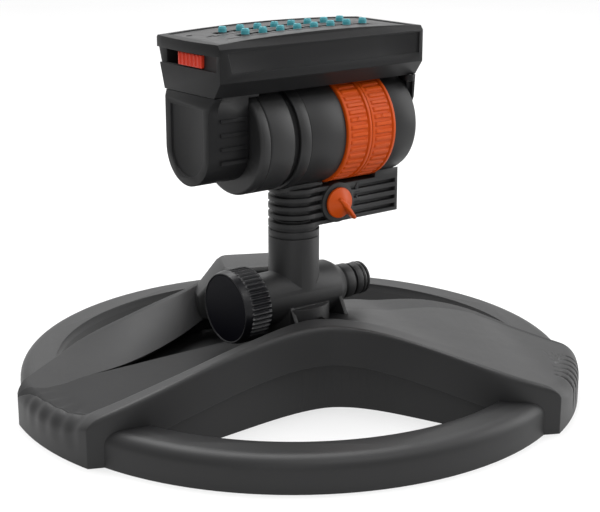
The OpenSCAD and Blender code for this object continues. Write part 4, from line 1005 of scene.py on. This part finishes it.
# %% Make the flow knob
# The pointer's rows give how far a place is from the axis, its radius, its foot and its top.
KNOB_X, KNOB_Z, KNOB_R, KNOB_FACE = 18.9, 97.8, 8.1, -14.1
POINTER_TURN = math.radians(-47)
upright = Matrix.Rotation(math.radians(90), 4, "X")
face_on = (Matrix.Translation((KNOB_X, KNOB_FACE, KNOB_Z))
           @ Matrix.Rotation(math.radians(-90), 4, "Z"))
knob = wrapped([(2.5, 0), (2.5, 2.7), (0, 2.7), (0, KNOB_R), (1.0, KNOB_R)]
               + arc(1.0, KNOB_R - 0.6, 0.6, 90, 25, 5) + [(3.0, 4.8), (4.3, 2.2), (4.6, 0)],
               96, face_on)
pointer = bmesh.new()
for reach, radius, foot, top in ((-3.4, 0.8, 1.8, 5.0), (1.0, 1.4, 1.8, 6.4),
                                 (11.6, 1.0, 1.4, 4.4)):
    x = KNOB_X + reach * math.cos(POINTER_TURN)
    z = KNOB_Z + reach * math.sin(POINTER_TURN)
    for height, size in ((foot, radius), (top - 0.6, radius), (top, radius * 0.6)):
        place = Matrix.Translation((x, KNOB_FACE - height, z)) @ upright
        bmesh.ops.create_circle(pointer, segments=20, radius=size, matrix=place)
hulled(pointer)
knob_shell = add_piece("knob_shell", knob, "flow_knob")
add_piece("knob_pointer", pointer, "flow_knob", sharp=50)
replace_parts(knob_shell, "flow_knob")

# %% [markdown]
# A thin web closes the saddle behind the cap, between the block and the rear wall. It is a cube
# that is scaled flat, turned to run along the wall, and bevelled.

# %% Make the web behind the cap
WEB_SIZE, WEB_TURN = (22, 1.6, 20), math.radians(20.5)
along_wall = Matrix.Translation((-46, 46.8, 25)) @ Matrix.Rotation(WEB_TURN, 4, "Z")
web = bmesh.new()
bmesh.ops.create_cube(web, size=1.0, matrix=along_wall @ Matrix.Diagonal((*WEB_SIZE, 1)))
bevelled(web, 0.5, CORNER_ABOVE, 2)
add_piece("saddle_web", web, "saddle_cover", turn=0)

# %% [markdown]
# ## Marks for the hand that sets it
#
# Two drops beside the flow knob tell which way to turn it: the large one stands for much water
# and the small one for little. Short lines stand above, between and below them. All of them
# rise 0.3 mm or less off the arm.

# %% Make the raised marks
ARM_FRONT, SUNK = -12.7, 0.2
flow_marks = bmesh.new()
for z, radius in ((103.9, 1.15), (98.6, 0.8)):
    on_arm = Matrix.Translation((32.2, ARM_FRONT + SUNK, z)) @ upright
    raised(flow_marks, 20, radius, on_arm, 0.5, pull=radius * 1.1)
for z in (106.2, 101.3, 96.3):
    on_arm = Matrix.Translation((33.2, ARM_FRONT + SUNK, z)) @ upright
    raised(flow_marks, 4, 0.32, on_arm, 0.45, stretch=(7, 1, 1))
add_piece("flow_marks", flow_marks, "arm", BLACK)
